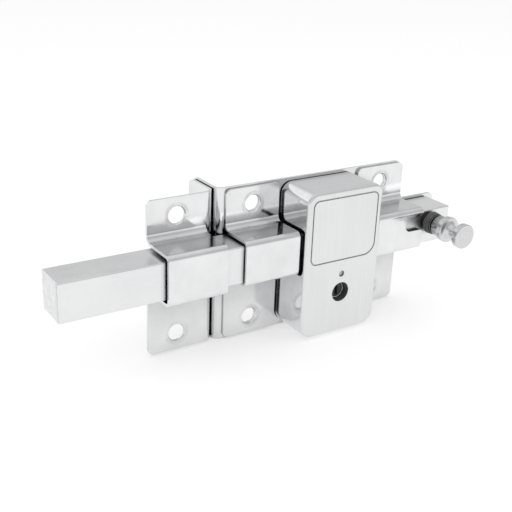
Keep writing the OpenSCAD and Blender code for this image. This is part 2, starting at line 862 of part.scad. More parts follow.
base_plate();
left_guide();
right_guide();
lock_case();
case_posts();
case_screws();
strike();
lock_bar();
stop_stud();
knob_stud();
knob_buffer();
knob_washer();
pull_knob();
cylinder_body();
cylinder_cap();
driver_pins();
pin_springs();
cylinder_plate();
plate_posts();
plate_screws();
key_plug();
key_pins();
drive_cam();
cam_pin();
cam_screw();
locking_dog();
dog_rails();
rail_rivets();
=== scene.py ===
# %% [markdown]
# # A surface bar lock in Blender
# The lock is a square steel bar that slides through two folded bridges, with a
# box-shaped case between them and a loose strike on its tip. Everything you see
# is metal, so this lesson is about three things: edges that catch the light,
# finishes that tell polished sheet from brushed and turned steel, and a room
# for the metal to mirror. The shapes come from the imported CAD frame, in metres.

# %% Load the frame
import bpy, bmesh, json, math
from mathutils import Matrix, Vector


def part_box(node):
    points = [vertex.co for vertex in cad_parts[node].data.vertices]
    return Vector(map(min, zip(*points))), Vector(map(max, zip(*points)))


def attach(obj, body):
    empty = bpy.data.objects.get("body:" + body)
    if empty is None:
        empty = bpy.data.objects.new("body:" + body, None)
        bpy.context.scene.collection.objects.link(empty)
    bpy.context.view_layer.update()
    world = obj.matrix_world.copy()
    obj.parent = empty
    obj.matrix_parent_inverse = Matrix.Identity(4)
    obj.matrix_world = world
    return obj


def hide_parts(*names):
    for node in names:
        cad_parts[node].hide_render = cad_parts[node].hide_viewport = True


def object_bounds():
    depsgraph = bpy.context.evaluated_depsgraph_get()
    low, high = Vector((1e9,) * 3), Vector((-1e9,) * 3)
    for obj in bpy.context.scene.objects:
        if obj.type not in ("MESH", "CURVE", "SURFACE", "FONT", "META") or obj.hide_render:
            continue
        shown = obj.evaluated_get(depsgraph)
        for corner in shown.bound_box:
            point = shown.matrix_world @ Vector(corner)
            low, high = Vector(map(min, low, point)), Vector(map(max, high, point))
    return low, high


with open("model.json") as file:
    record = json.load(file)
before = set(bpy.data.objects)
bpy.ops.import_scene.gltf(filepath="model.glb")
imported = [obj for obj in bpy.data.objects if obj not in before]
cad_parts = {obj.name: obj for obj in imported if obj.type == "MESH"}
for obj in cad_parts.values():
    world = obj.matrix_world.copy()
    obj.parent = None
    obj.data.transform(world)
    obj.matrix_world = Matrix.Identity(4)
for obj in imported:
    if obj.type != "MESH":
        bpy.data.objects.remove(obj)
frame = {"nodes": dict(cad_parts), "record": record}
cad_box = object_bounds()
scene = bpy.context.scene
mm = 0.001


def span(node):
    """A node's lowest corner, its highest corner and its middle, with the lock at rest."""
    low, high = (Vector(corner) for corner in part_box(node))
    return low, high, (low + high) / 2


# %% [markdown]
# ## The camera
# A photograph fixes its camera: its edges only line up from one spot. The spot
# below was solved from two dozen corners of the lock whose sizes are known. The
# camera looks down from the front left. Its matrix is written out from three
# unit vectors, which is safer than guessing three angles.

# %% Place the camera
photo_size, focal_length = 512, 864.556  # in the photograph's own pixels
spot = Vector((-348.005, -453.775, 222.769)) * mm
turn, tilt, lean = -0.5848, -0.3869, 0.0386  # in radians
ahead = Vector((-math.sin(turn) * math.cos(tilt), math.cos(turn) * math.cos(tilt), math.sin(tilt)))
side = ahead.cross(Vector((0, 0, 1))).normalized()
above = side.cross(ahead)
right = side * math.cos(lean) + above * math.sin(lean)
up = above * math.cos(lean) - side * math.sin(lean)
lens = bpy.data.cameras.new("photo_camera")
lens.sensor_width = 36.0
lens.lens = lens.sensor_width * focal_length / photo_size
lens.clip_start = 10 * mm
camera = bpy.data.objects.new("photo_camera", lens)
scene.collection.objects.link(camera)
turned_to = Matrix((right, up, -ahead)).transposed().to_4x4()
camera.matrix_world = Matrix.Translation(spot) @ turned_to
scene.camera = camera
print("lens", round(lens.lens, 1), "mm, distance", round(spot.length, 3), "m")

# %% [markdown]
# ## Sums with shader nodes
# Most finishes below are sums: how far is this place from a hole, which way does
# it face, how open is it? Each step of a sum is a Math node. Wired by hand, a
# dozen of them hide the idea, so four short helpers add a node, do one step,
# pass softly from one value to another, and mark what lies between two edges.

# %% Helpers for shader nodes
def add_node(tree, kind, **settings):
    """Adds a node; a setting called in_0 goes to the input of that number."""
    made = tree.nodes.new(kind)
    for key, value in settings.items():
        if key.startswith("in_"):
            made.inputs[int(key[3:])].default_value = value
        else:
            setattr(made, key, value)
    return made


def math_node(tree, operation, first, second=None):
    """One step of a sum on numbers or on other nodes' outputs."""
    made = add_node(tree, "ShaderNodeMath", operation=operation)
    for number, value in enumerate((first, second)):
        if value is None:
            continue
        if isinstance(value, (int, float)):
            made.inputs[number].default_value = value
        else:
            tree.links.new(value, made.inputs[number])
    return made.outputs[0]


def ease(tree, value, low, high, start=0.0, end=1.0):
    """A soft step: start where the value is under low, end where it is over high."""
    made = add_node(tree, "ShaderNodeMapRange", interpolation_type="SMOOTHSTEP")
    tree.links.new(value, made.inputs[0])
    for number, setting in enumerate((low, high, start, end), 1):
        made.inputs[number].default_value = setting
    return made.outputs[0]


def between(tree, value, low, high, soft):
    """1 between two edges, and 0 outside them, with a soft step at each."""
    return math_node(tree, "MULTIPLY", ease(tree, value, low - soft, low + soft),
                     ease(tree, value, high - soft, high + soft, 1.0, 0.0))


print("shader helpers ready")

# %% [markdown]
# ## The floor, the lamps and the room
# Polished metal has no colour of its own: it shows what is round it. So the light
# that falls on the lock and the room that it mirrors are set apart here. Two wide
# lamps light the floor and the satin faces, but they stay out of the mirrors,
# where they would draw hard white stripes along every bend. What the metal
# mirrors is the white table and a painted room, pale at the horizon and greyer
# higher up, with a soft window at the back left. Faces that look to the front
# then fill with the table, and faces that look up get their grey. Real cards
# could make the same room, but they would stand in the way of other views, so
# the world's shader paints it by direction.

# %% The floor
floor_reach, floor_z = 4.0, cad_box[0][2] - 0.2 * mm
paper_colour, paper_glow = 0.55, 0.54
floor_mesh = bpy.data.meshes.new("floor")
floor_mesh.from_pydata([(x * floor_reach, y * floor_reach, floor_z)
                        for x, y in ((-1, -1), (1, -1), (1, 1), (-1, 1))], [], [(0, 1, 2, 3)])
floor = bpy.data.objects.new("floor", floor_mesh)
scene.collection.objects.link(floor)

paper = bpy.data.materials.new("white_table")
paper.use_nodes = True
tree = paper.node_tree
tree.nodes.clear()
matt = add_node(tree, "ShaderNodeBsdfDiffuse", in_0=(paper_colour, paper_colour, paper_colour, 1))
glow = add_node(tree, "ShaderNodeEmission", in_0=(1, 1, 1, 1))
path = add_node(tree, "ShaderNodeLightPath")
seen = math_node(tree, "MAXIMUM", path.outputs["Is Camera Ray"], path.outputs["Is Glossy Ray"])
seen = math_node(tree, "MAXIMUM", seen, path.outputs["Is Transmission Ray"])
tree.links.new(math_node(tree, "MULTIPLY", seen, paper_glow), glow.inputs[1])
both = add_node(tree, "ShaderNodeAddShader")
tree.links.new(matt.outputs[0], both.inputs[0])
tree.links.new(glow.outputs[0], both.inputs[1])
tree.links.new(both.outputs[0], add_node(tree, "ShaderNodeOutputMaterial").inputs[0])
floor_mesh.materials.append(paper)
print("floor at", round(floor_z, 4), "m")

# %% The room that the metal mirrors
horizon_back, upper_back = 0.95, 0.62
horizon_front, upper_front = 0.94, 0.56
ceiling_light, window_light = 0.25, 0.38
world = bpy.data.worlds.new("studio")
scene.world = world
world.use_nodes = True
tree = world.node_tree
tree.nodes.clear()
toward = add_node(tree, "ShaderNodeSeparateXYZ")
tree.links.new(add_node(tree, "ShaderNodeTexCoord").outputs["Generated"], toward.inputs[0])
across, deep, high = toward.outputs  # where a ray goes, from -1 to 1 each

at_back = ease(tree, deep, -0.5, 0.5)
at_front = math_node(tree, "SUBTRACT", 1.0, at_back)
back_wall = ease(tree, high, 0.0, 0.55, horizon_back, upper_back)
front_wall = ease(tree, high, 0.0, 0.45, horizon_front, upper_front)
walls = math_node(tree, "ADD", math_node(tree, "MULTIPLY", back_wall, at_back),
                  math_node(tree, "MULTIPLY", front_wall, at_front))
ceiling = ease(tree, high, 0.45, 1.0, 0.0, ceiling_light)
window = math_node(tree, "MULTIPLY", between(tree, high, 0.12, 0.66, 0.06),
                   between(tree, across, -0.62, 0.10, 0.08))
window = math_node(tree, "MULTIPLY", window, ease(tree, deep, 0.4, 0.6))
window = math_node(tree, "MULTIPLY", window, window_light)
room = math_node(tree, "ADD", walls, math_node(tree, "ADD", ceiling, window))

plain = add_node(tree, "ShaderNodeBackground", in_0=(1, 1, 1, 1), in_1=1.0)
painted = add_node(tree, "ShaderNodeBackground", in_0=(0.995, 0.997, 1.0, 1))
tree.links.new(room, painted.inputs[1])
choose = add_node(tree, "ShaderNodeMixShader")
tree.links.new(add_node(tree, "ShaderNodeLightPath").outputs["Is Camera Ray"], choose.inputs[0])
tree.links.new(painted.outputs[0], choose.inputs[1])
tree.links.new(plain.outputs[0], choose.inputs[2])
tree.links.new(choose.outputs[0], add_node(tree, "ShaderNodeOutputWorld").inputs[0])
print("room painted with", len(tree.nodes), "nodes")

# %% The lamps
def soft_lamp(name, place, size, power):
    """A square lamp that looks at the lock, and that neither the camera nor a mirror sees."""
    data = bpy.data.lights.new(name, "AREA")
    data.shape, data.size, data.energy = "SQUARE", size, power
    lamp = bpy.data.objects.new(name, data)
    scene.collection.objects.link(lamp)
    lamp.location = place
    lamp.rotation_euler = (-Vector(place)).to_track_quat("-Z", "Y").to_euler()
    lamp.visible_camera, lamp.visible_glossy = False, False


soft_lamp("top_left_lamp", (-0.9, -0.5, 1.3), 1.8, 6)
soft_lamp("top_right_lamp", (0.9, -0.7, 1.1), 1.6, 3.5)

# %% [markdown]
# ## Finishes
# Each finish is one material made of nodes that read Object coordinates, so the
# grain stays put when a piece moves. Chromed sheet is a mirror that has been
# bent and buffed: it waves a little, and its gloss is a bit uneven. Brushed and
# ground steel have long fine scratches in one direction: a noise that is
# stretched along the scratches gives both their colour and their relief.

# %% Helpers for the finishes
def new_finish(name, colour, gloss, metal=1.0):
    """A material with its node tree and its shader; gloss is the shader's Roughness."""
    finish = bpy.data.materials.new(name)
    finish.use_nodes = True
    tree = finish.node_tree
    shader = tree.nodes["Principled BSDF"]
    shader.inputs["Base Color"].default_value = (*colour, 1)
    shader.inputs["Metallic"].default_value = metal
    shader.inputs["Roughness"].default_value = gloss
    return finish, tree, shader


def grain(tree, stretch, detail=3.0, centre=(0, 0, 0), rough=0.6):
    """Noise on Object coordinates, with its own scale along each axis."""
    coords = add_node(tree, "ShaderNodeTexCoord").outputs["Object"]
    place = add_node(tree, "ShaderNodeMapping")
    place.inputs["Location"].default_value = [-c * s for c, s in zip(centre, stretch)]
    place.inputs["Scale"].default_value = stretch
    noise = add_node(tree, "ShaderNodeTexNoise")
    noise.inputs["Scale"].default_value = 1.0
    noise.inputs["Detail"].default_value = detail
    noise.inputs["Roughness"].default_value = rough
    tree.links.new(coords, place.inputs["Vector"])
    tree.links.new(place.outputs[0], noise.inputs["Vector"])
    return noise.outputs[0]


def relief(tree, shader, height, depth, before=None):
    """Turns a height into bump, on top of the bump before it."""
    bump = add_node(tree, "ShaderNodeBump")
    bump.inputs["Strength"].default_value = 1.0
    bump.inputs["Distance"].default_value = depth
    tree.links.new(height, bump.inputs["Height"])
    if before is not None:
        tree.links.new(before, bump.inputs["Normal"])
    tree.links.new(bump.outputs[0], shader.inputs["Normal"])
    return bump.outputs[0]


def tint(tree, shader, value, dark, light):
    """Lets a value from 0 to 1 run the base colour from dark to light."""
    ramp = add_node(tree, "ShaderNodeValToRGB")
    ramp.color_ramp.elements[0].color = (*dark, 1)
    ramp.color_ramp.elements[1].color = (*light, 1)
    ramp.color_ramp.elements[0].position = 0.3
    ramp.color_ramp.elements[1].position = 0.7
    tree.links.new(value, ramp.inputs[0])
    tree.links.new(ramp.outputs[0], shader.inputs["Base Color"])
    return ramp.outputs[0]


def gloss_from(tree, shader, value, low, high):
    """Lets a noise run the Roughness from low to high."""
    tree.links.new(ease(tree, value, 0.3, 0.7, low, high), shader.inputs["Roughness"])


print("finish helpers ready")

# %% [markdown]
# ## Masks that know the lock
# A finish changes from place to place, and a mask says where: 1 where something
# shows, 0 where it doesn't. A mask could be painted on a UV map, but the places
# here follow the lock's own sizes. So these masks are sums on coordinates: how
# far from an axis, how far over or under the bar, and which way a face looks,
# which the Normal output tells in the object's own space.

# %% Masks by place and direction
def along(tree, which, space="Object"):
    """One coordinate of a texture space: which is 0, 1 or 2 for x, y or z."""
    split = add_node(tree, "ShaderNodeSeparateXYZ")
    tree.links.new(add_node(tree, "ShaderNodeTexCoord").outputs[space], split.inputs[0])
    return split.outputs[which]


def from_axis(tree, first, second):
    """The distance that two square-on distances make."""
    squares = [math_node(tree, "MULTIPLY", part, part) for part in (first, second)]
    return math_node(tree, "SQRT", math_node(tree, "ADD", *squares))


def only_where(tree, mask, factor):
    """The factor where the mask is 1, and 1 where it is 0."""
    change = math_node(tree, "SUBTRACT", factor, 1.0)
    return math_node(tree, "ADD", math_node(tree, "MULTIPLY", change, mask), 1.0)


print("masks ready")

# %% [markdown]
# ## Chromed sheet
# The chromed sheet tells how it was made and used, and it carries painted light.
# Deep between two pieces it gets painted shade: Ambient Occlusion finds those
# places, once close by and once farther round. Its fronts get painted shade just
# under the bar, a painted highlight that grows toward the lower edge, and a
# painted highlight just over the upper bends; the tops of the bridges get a little
# painted shade. Round each bolt hole a washer has rubbed a broken ring. Smears
# make the gloss uneven, and a slow wave bends the mirror image as pressed sheet
# does. One mirror without these marks would look like glass.

# %% Painted shade in gaps
far_reach = 28 * mm


# Painted shade: darkens a colour in gaps, corners and hollows, where shade falls.
def paint_gap_shade(tree, shader, colour, reach, low, high, least, far_shade=None, also=None):
    """Multiplies a colour by how open its place is.

    Within reach, an openness of low gives the factor least and one of high gives 1.
    With a factor for far shade, a second look as far as far_reach paints shade down to
    that factor. A factor in also is put on top.
    """
    around = add_node(tree, "ShaderNodeAmbientOcclusion", samples=12)
    around.inputs["Distance"].default_value = reach
    shade = ease(tree, around.outputs["AO"], low, high, least, 1.0)
    if far_shade is not None:
        wide = add_node(tree, "ShaderNodeAmbientOcclusion", samples=12)
        wide.inputs["Distance"].default_value = far_reach
        shade = math_node(tree, "MULTIPLY", shade,
                          ease(tree, wide.outputs["AO"], 0.35, 0.95, far_shade, 1.0))
    if also is not None:
        shade = math_node(tree, "MULTIPLY", shade, also)
    scaled = add_node(tree, "ShaderNodeVectorMath", operation="SCALE")
    tree.links.new(colour, scaled.inputs[0])
    tree.links.new(shade, scaled.inputs["Scale"])
    tree.links.new(scaled.outputs[0], shader.inputs["Base Color"])


print("gap shading ready")

# %% Bolt rings, and painted light and shade beside the bar
bar_low, bar_high = span("lock_bar")[:2]
sheet_bottom = -52 * mm
# Painted shade just under the bar and on the bridge tops, and painted highlights toward the lower
# edge and over the upper bends.
shade_under_bar, highlight_to_lower_edge, highlight_over_bend, shade_on_bridge_top = 0.79, 1.10, 1.22, 0.85  # colour factors


def bolt_ring(tree, hole_x, hole_z, inner, outer):
    """1 on a ring round the bolt holes at plus and minus hole_z, and 0 elsewhere.

    A hole_x over 0 stands for holes on both sides of the middle.
    """
    aside, upward = along(tree, 0), math_node(tree, "ABSOLUTE", along(tree, 2))
    if hole_x > 0:
        aside = math_node(tree, "ABSOLUTE", aside)
    away = from_axis(tree, math_node(tree, "SUBTRACT", aside, hole_x),
                     math_node(tree, "SUBTRACT", upward, hole_z))
    return between(tree, away, inner, outer, 0.4 * mm)


def paint_light_by_the_bar(tree):
    """Painted shade and highlights on the fronts beside the bar, and painted shade on the bridge
    tops; 1 elsewhere.
    """
    up, low, high = along(tree, 2), bar_low.z, bar_high.z
    fronts = ease(tree, along(tree, 1, "Normal"), -0.8, -0.3, 1.0, 0.0)
    tops = ease(tree, along(tree, 2, "Normal"), 0.9, 0.98)
    under = math_node(tree, "MULTIPLY", fronts,
                      ease(tree, up, low - 6.5 * mm, low - 3.5 * mm, 1.0, 0.0))
    over = math_node(tree, "MULTIPLY", fronts,
                     between(tree, up, high + 9 * mm, high + 14.5 * mm, 1.5 * mm))
    bridge = math_node(tree, "MULTIPLY", tops,
                       ease(tree, up, high + 5 * mm, high + 7 * mm, 1.0, 0.0))
    shade = only_where(tree, under, ease(tree, up, sheet_bottom, low - 8 * mm,
                                         highlight_to_lower_edge, shade_under_bar))
    for mask, factor in ((over, highlight_over_bend), (bridge, shade_on_bridge_top)):
        shade = math_node(tree, "MULTIPLY", shade, only_where(tree, mask, factor))
    return shade


print("bar from", round(bar_low.z, 4), "to", round(bar_high.z, 4), "m high")

# %% The chromed sheet of the lock and of the strike
bolt_x, bolt_z, strike_bend = 54 * mm, 41 * mm, 7 * mm
ring_inner, ring_outer, ring_strength, ring_roughness = 5.8 * mm, 8.6 * mm, 0.75, 0.22


def chromed(name, hole_x):
    """The chromed sheet's material, with its rings at the bolt holes at hole_x."""
    finish, tree, shader = new_finish(name, (0.80, 0.802, 0.808), 0.08)
    wave = grain(tree, (26, 26, 26), 1.0)
    smear = grain(tree, (60, 60, 60), 5.0)
    buffing = grain(tree, (90, 90, 1500), 2.0)
    broken = ease(tree, grain(tree, (75, 75, 75), 2.0), 0.38, 0.60, 0.25, 1.0)
    ring = math_node(tree, "MULTIPLY", broken,
                     bolt_ring(tree, hole_x, bolt_z, ring_inner, ring_outer))
    rubbed = add_node(tree, "ShaderNodeMix", data_type="RGBA", in_7=(0.69, 0.692, 0.698, 1))
    tree.links.new(math_node(tree, "MULTIPLY", ring, ring_strength), rubbed.inputs[0])
    tree.links.new(tint(tree, shader, smear, (0.74, 0.742, 0.748), (0.83, 0.832, 0.838)),
                   rubbed.inputs[6])
    # Painted shade in gaps and under the bar, and painted highlights toward the lower edge and over
    # the bends.
    paint_gap_shade(tree, shader, rubbed.outputs[2], reach=7 * mm, low=0.05, high=0.42, least=0.04,
                   far_shade=0.85, also=paint_light_by_the_bar(tree))
    gloss = math_node(tree, "ADD", ease(tree, smear, 0.3, 0.7, 0.08, 0.18),
                      math_node(tree, "MULTIPLY", ring, ring_roughness))
    tree.links.new(gloss, shader.inputs["Roughness"])
    relief(tree, shader, buffing, 0.004 * mm, relief(tree, shader, wave, 0.1 * mm))
    return finish


lock_chrome = chromed("chromed_sheet", bolt_x)
strike_low, strike_high = span("strike")[:2]
strike_bolt_x = (strike_low.x + strike_high.x - strike_bend) / 2
strike_chrome = chromed("chromed_strike", strike_bolt_x)
print("finishes:", lock_chrome.name, strike_chrome.name, "strike bolt at", round(strike_bolt_x, 4))

# %% [markdown]
# ## The case's four finishes
# The cover is one drawn sheet that has been worked in four ways. Its front is
# brushed upright: a noise that is stretched a hundredfold along z. The top and the
# bottom are satin, and brushed along x. The sides were left bright and mirror the
# guides. The line round the panel is cut in and dull. One material could find all
# four places by itself, but four simple ones are easier to read.

# %% The case's finishes
case_front, tree, shader = new_finish("brushed_case_front", (0.77, 0.775, 0.78), 0.3)
scratch = grain(tree, (2600, 2600, 24), 3.0, rough=0.75)
streak = grain(tree, (1300, 1300, 14), 3.0, rough=0.7)
cloud = grain(tree, (45, 45, 30), 2.0)
tint(tree, shader, streak, (0.745, 0.747, 0.75), (0.80, 0.802, 0.805))
gloss_from(tree, shader, cloud, 0.28, 0.38)
relief(tree, shader, scratch, 0.008 * mm)

case_top, tree, shader = new_finish("satin_case_edge", (0.68, 0.682, 0.688), 0.36)
scratch = grain(tree, (14, 900, 900), 3.0, rough=0.7)
tint(tree, shader, scratch, (0.72, 0.722, 0.728), (0.79, 0.792, 0.798))
relief(tree, shader, scratch, 0.008 * mm)

case_side, tree, shader = new_finish("bright_case_side", (0.80, 0.805, 0.815), 0.08)
wave = grain(tree, (26, 26, 26), 1.0)
smear = grain(tree, (70, 70, 70), 5.0)
colour = tint(tree, shader, smear, (0.72, 0.725, 0.74), (0.83, 0.835, 0.845))
# Painted shade in the gaps round the case.
paint_gap_shade(tree, shader, colour, reach=6 * mm, low=0.05, high=0.40, least=0.05)
gloss_from(tree, shader, smear, 0.04, 0.12)
relief(tree, shader, wave, 0.08 * mm)

engraved, tree, shader = new_finish("engraved_line", (0.45, 0.452, 0.455), 0.42)
speck = grain(tree, (500, 500, 500), 3.0)
colour = tint(tree, shader, speck, (0.46, 0.462, 0.465), (0.58, 0.582, 0.585))
# Painted shade in the cut line and in the dimple.
paint_gap_shade(tree, shader, colour, reach=1.2 * mm, low=0.35, high=0.95, least=0.4)
relief(tree, shader, speck, 0.02 * mm)
print("case finishes:", case_front.name, case_top.name, case_side.name, engraved.name)

# %% [markdown]
# ## The ground bar
# The bar is square stock that was ground along its length and sawn off at the
# end. The grinding is a noise stretched along x. The sawn end is the one face
# that looks to the left, so its Normal finds it, whatever the bar's length. It
# gets specks from the saw, and it darkens towards its front edge.

# %% The bar's finish
bar_finish, tree, shader = new_finish("satin_bar", (0.80, 0.80, 0.805), 0.3)
scratch = grain(tree, (10, 650, 650), 2.0, rough=0.6)
cloud = grain(tree, (22, 45, 45), 4.0)
colour = tint(tree, shader, cloud, (0.77, 0.772, 0.78), (0.85, 0.852, 0.855))
sawn_face = ease(tree, along(tree, 0, "Normal"), -0.98, -0.92, 1.0, 0.0)
saw_marks = ease(tree, grain(tree, (300, 420, 260), 3.0), 0.35, 0.65, 0.88, 1.0)
to_the_front = ease(tree, along(tree, 1), bar_low.y, bar_low.y + 6 * mm, 0.82, 1.0)
sawn_shade = math_node(tree, "MULTIPLY", saw_marks, to_the_front)
# Painted shade in gaps, such as behind the notch; on the sawn end, saw specks and a darkening
# toward the front edge.
paint_gap_shade(tree, shader, colour, reach=6 * mm, low=0.15, high=0.92, least=0.10,
               also=only_where(tree, sawn_face, sawn_shade))
gloss_from(tree, shader, cloud, 0.26, 0.38)
relief(tree, shader, scratch, 0.006 * mm)
print("finish:", bar_finish.name)

# %% [markdown]
# ## Turned metal
# Turned metal carries rings round its own axis, so its pattern needs the
# distance from that axis. A noise that reads only that distance and the depth
# draws rings of uneven strength, round the knob and round the brass alike. A
# Wave texture would draw rings too, but all alike, as no lathe leaves them.

# %% Turned metal
def turned_finish(name, centre, colour, gloss, pitch, back_shade=None):
    """Rings round an axis along y; the last argument gives the y where painted shade starts, and
    where it is full.
    """
    finish, tree, shader = new_finish(name, colour, gloss)
    depth = along(tree, 1)
    radius = from_axis(tree, math_node(tree, "SUBTRACT", along(tree, 0), centre.x),
                       math_node(tree, "SUBTRACT", along(tree, 2), centre.z))
    pair = add_node(tree, "ShaderNodeCombineXYZ")
    tree.links.new(radius, pair.inputs[0])
    tree.links.new(depth, pair.inputs[1])
    rings = add_node(tree, "ShaderNodeTexNoise", noise_dimensions="2D")
    rings.inputs["Scale"].default_value = 1.0 / pitch
    rings.inputs["Detail"].default_value = 2.0
    tree.links.new(pair.outputs[0], rings.inputs["Vector"])
    dark, light = [0.87 * c for c in colour], [min(1.08 * c, 0.95) for c in colour]
    shade = tint(tree, shader, rings.outputs[0], dark, light)
    # Painted shade: the colour darkens toward the back, down to 0.30 where the knob meets the bar.
    if back_shade is not None:
        shaded = add_node(tree, "ShaderNodeVectorMath", operation="SCALE")
        tree.links.new(shade, shaded.inputs[0])
        tree.links.new(ease(tree, depth, *back_shade, 1.0, 0.30), shaded.inputs["Scale"])
        shade = shaded.outputs[0]
    # Painted shade in gaps and corners.
    paint_gap_shade(tree, shader, shade, reach=5 * mm, low=0.15, high=0.9, least=0.3)
    relief(tree, shader, rings.outputs[0], 0.02 * mm)
    return finish


knob_low, knob_high, knob_mid = span("pull_knob")
knob_finish = turned_finish("turned_chrome", knob_mid, (0.68, 0.682, 0.688), 0.2, 0.55 * mm,
                            back_shade=(knob_high.y - 11 * mm, knob_high.y))
plug_low, _, plug_mid = span("key_plug")
brass_finish = turned_finish("turned_brass", plug_mid, (0.62, 0.50, 0.26), 0.28, 0.8 * mm)
print("turned about", [round(v, 4) for v in knob_mid], [round(v, 4) for v in plug_mid])

# %% [markdown]
# ## Steel, rubber and a face painted black
# Three plainer finishes are left: mottled steel for the pieces inside, dusty
# rubber with painted shade in its grooves, and the end of the cylinder, painted
# black for the shade in the keyhole. A painted highlight marks the plug's rim there.
# A bevelled edge is too thin to show it, and metal in a dark hole mirrors only the
# dark, so the highlight is drawn: a pale ring with its own radius, on the front of
# the plug only, on a black that isn't metal.

# %% Steel and rubber
plain_steel, tree, shader = new_finish("plain_steel", (0.56, 0.57, 0.58), 0.28)
mottle = grain(tree, (220, 220, 220), 4.0)
tint(tree, shader, mottle, (0.50, 0.51, 0.53), (0.63, 0.64, 0.65))
gloss_from(tree, shader, mottle, 0.22, 0.38)
relief(tree, shader, mottle, 0.01 * mm)

rubber, tree, shader = new_finish("black_rubber", (0.09, 0.09, 0.092), 0.42, metal=0.0)
dust = grain(tree, (500, 500, 500), 4.0)
colour = tint(tree, shader, dust, (0.07, 0.07, 0.072), (0.15, 0.15, 0.153))
# Painted shade in the grooves between the ribs.
paint_gap_shade(tree, shader, colour, reach=0.9 * mm, low=0.45, high=0.98, least=0.06)
gloss_from(tree, shader, dust, 0.38, 0.55)
relief(tree, shader, dust, 0.02 * mm)
print("finishes:", plain_steel.name, rubber.name)

# %% The black painted for the keyhole's shade, and the painted highlight on the plug's rim
rim_inner, rim_outer = 5.35 * mm, 5.95 * mm
# The end of the cylinder is painted black for the shade in the keyhole, and its pale rim ring is a
# painted highlight.
painted_black, tree, shader = new_finish("painted_black_face", (0.04, 0.04, 0.042), 0.45, metal=0.0)
radius = from_axis(tree, math_node(tree, "SUBTRACT", along(tree, 0), plug_mid.x),
                   math_node(tree, "SUBTRACT", along(tree, 2), plug_mid.z))
on_the_end = between(tree, along(tree, 1), plug_low.y - 0.2 * mm, plug_low.y + 0.5 * mm, 0.1 * mm)
rim = math_node(tree, "MULTIPLY", on_the_end,
                between(tree, radius, rim_inner, rim_outer, 0.1 * mm))
black_mottle = grain(tree, (300, 300, 300), 4.0)
rim_highlight = add_node(tree, "ShaderNodeMix", data_type="RGBA", in_7=(0.85, 0.85, 0.855, 1))
tree.links.new(rim, rim_highlight.inputs[0])
tree.links.new(tint(tree, shader, black_mottle, (0.03, 0.03, 0.032), (0.06, 0.06, 0.063)), rim_highlight.inputs[6])
tree.links.new(rim_highlight.outputs[2], shader.inputs["Base Color"])
print("finish:", painted_black.name, "with a rim at", round((rim_inner + rim_outer) / 2 / mm, 2), "mm")

# %% [markdown]
# ## From sharp solids to soft edges
# A knife-sharp edge can't catch light. A real pressed or turned edge is rolled
# over by a few tenths of a millimetre, and that thin bright line is what makes
# metal look like metal. So each piece gets the same last step: a Bevel rounds
# its edges, and weighted normals keep the flat faces flat.

# %% Round the edges of a piece
def bake_modifiers(piece):
    """Turns a piece and its modifiers into one plain mesh."""
    seen = piece.evaluated_get(bpy.context.evaluated_depsgraph_get())
    plain = bpy.data.meshes.new_from_object(seen)
    piece.modifiers.clear()
    piece.data = plain
    return piece


def smooth_by_angle(piece, degrees=32):
    """Shades a piece smooth, and keeps edges that turn by more than the angle sharp."""
    data = piece.data
    data.polygons.foreach_set("use_smooth", [True] * len(data.polygons))
    data.set_sharp_from_angle(angle=math.radians(degrees))


def round_edges(piece, width, steps=2, weigh=None, from_angle=50):
    """Rolls over all edges from an angle on or, with weigh, each edge by its own weight."""
    if weigh is not None:
        weigh(piece.data)
    bevel = piece.modifiers.new("rolled edges", "BEVEL")
    bevel.width, bevel.segments = width, steps
    bevel.limit_method = "WEIGHT" if weigh else "ANGLE"
    bevel.angle_limit = math.radians(from_angle)
    bevel.use_clamp_overlap = True
    bevel.miter_outer = "MITER_SHARP"
    bake_modifiers(piece)
    smooth_by_angle(piece)
    even = piece.modifiers.new("flat faces stay flat", "WEIGHTED_NORMAL")
    even.keep_sharp, even.weight = True, 60
    return bake_modifiers(piece)


def hand_over(piece, node, body, finish):
    """Gives a piece its finish, puts it on the body that it moves with, and hides the CAD node that
    it replaces.
    """
    if finish.name not in piece.data.materials:
        piece.data.materials.append(finish)
    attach(piece, body)
    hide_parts(node)
    print(piece.name, len(piece.data.polygons), "faces")


print("edge helpers ready")

# %% [markdown]
# ## A kit for Geometry Nodes
# Most pieces of a lock are made by a rule: a strip folded over a die, a bar
# turned on a lathe, the same screw four times. Geometry Nodes can hold such a
# rule as a tree with named inputs, so one tree serves every piece of its kind.
# Trees are tedious to wire by hand, so the class below writes them like
# sentences. First come its words for numbers and points: a step of a sum, a
# point from three numbers, a choice by number.

# %% The node kit
weld_distance = 0.001 * mm


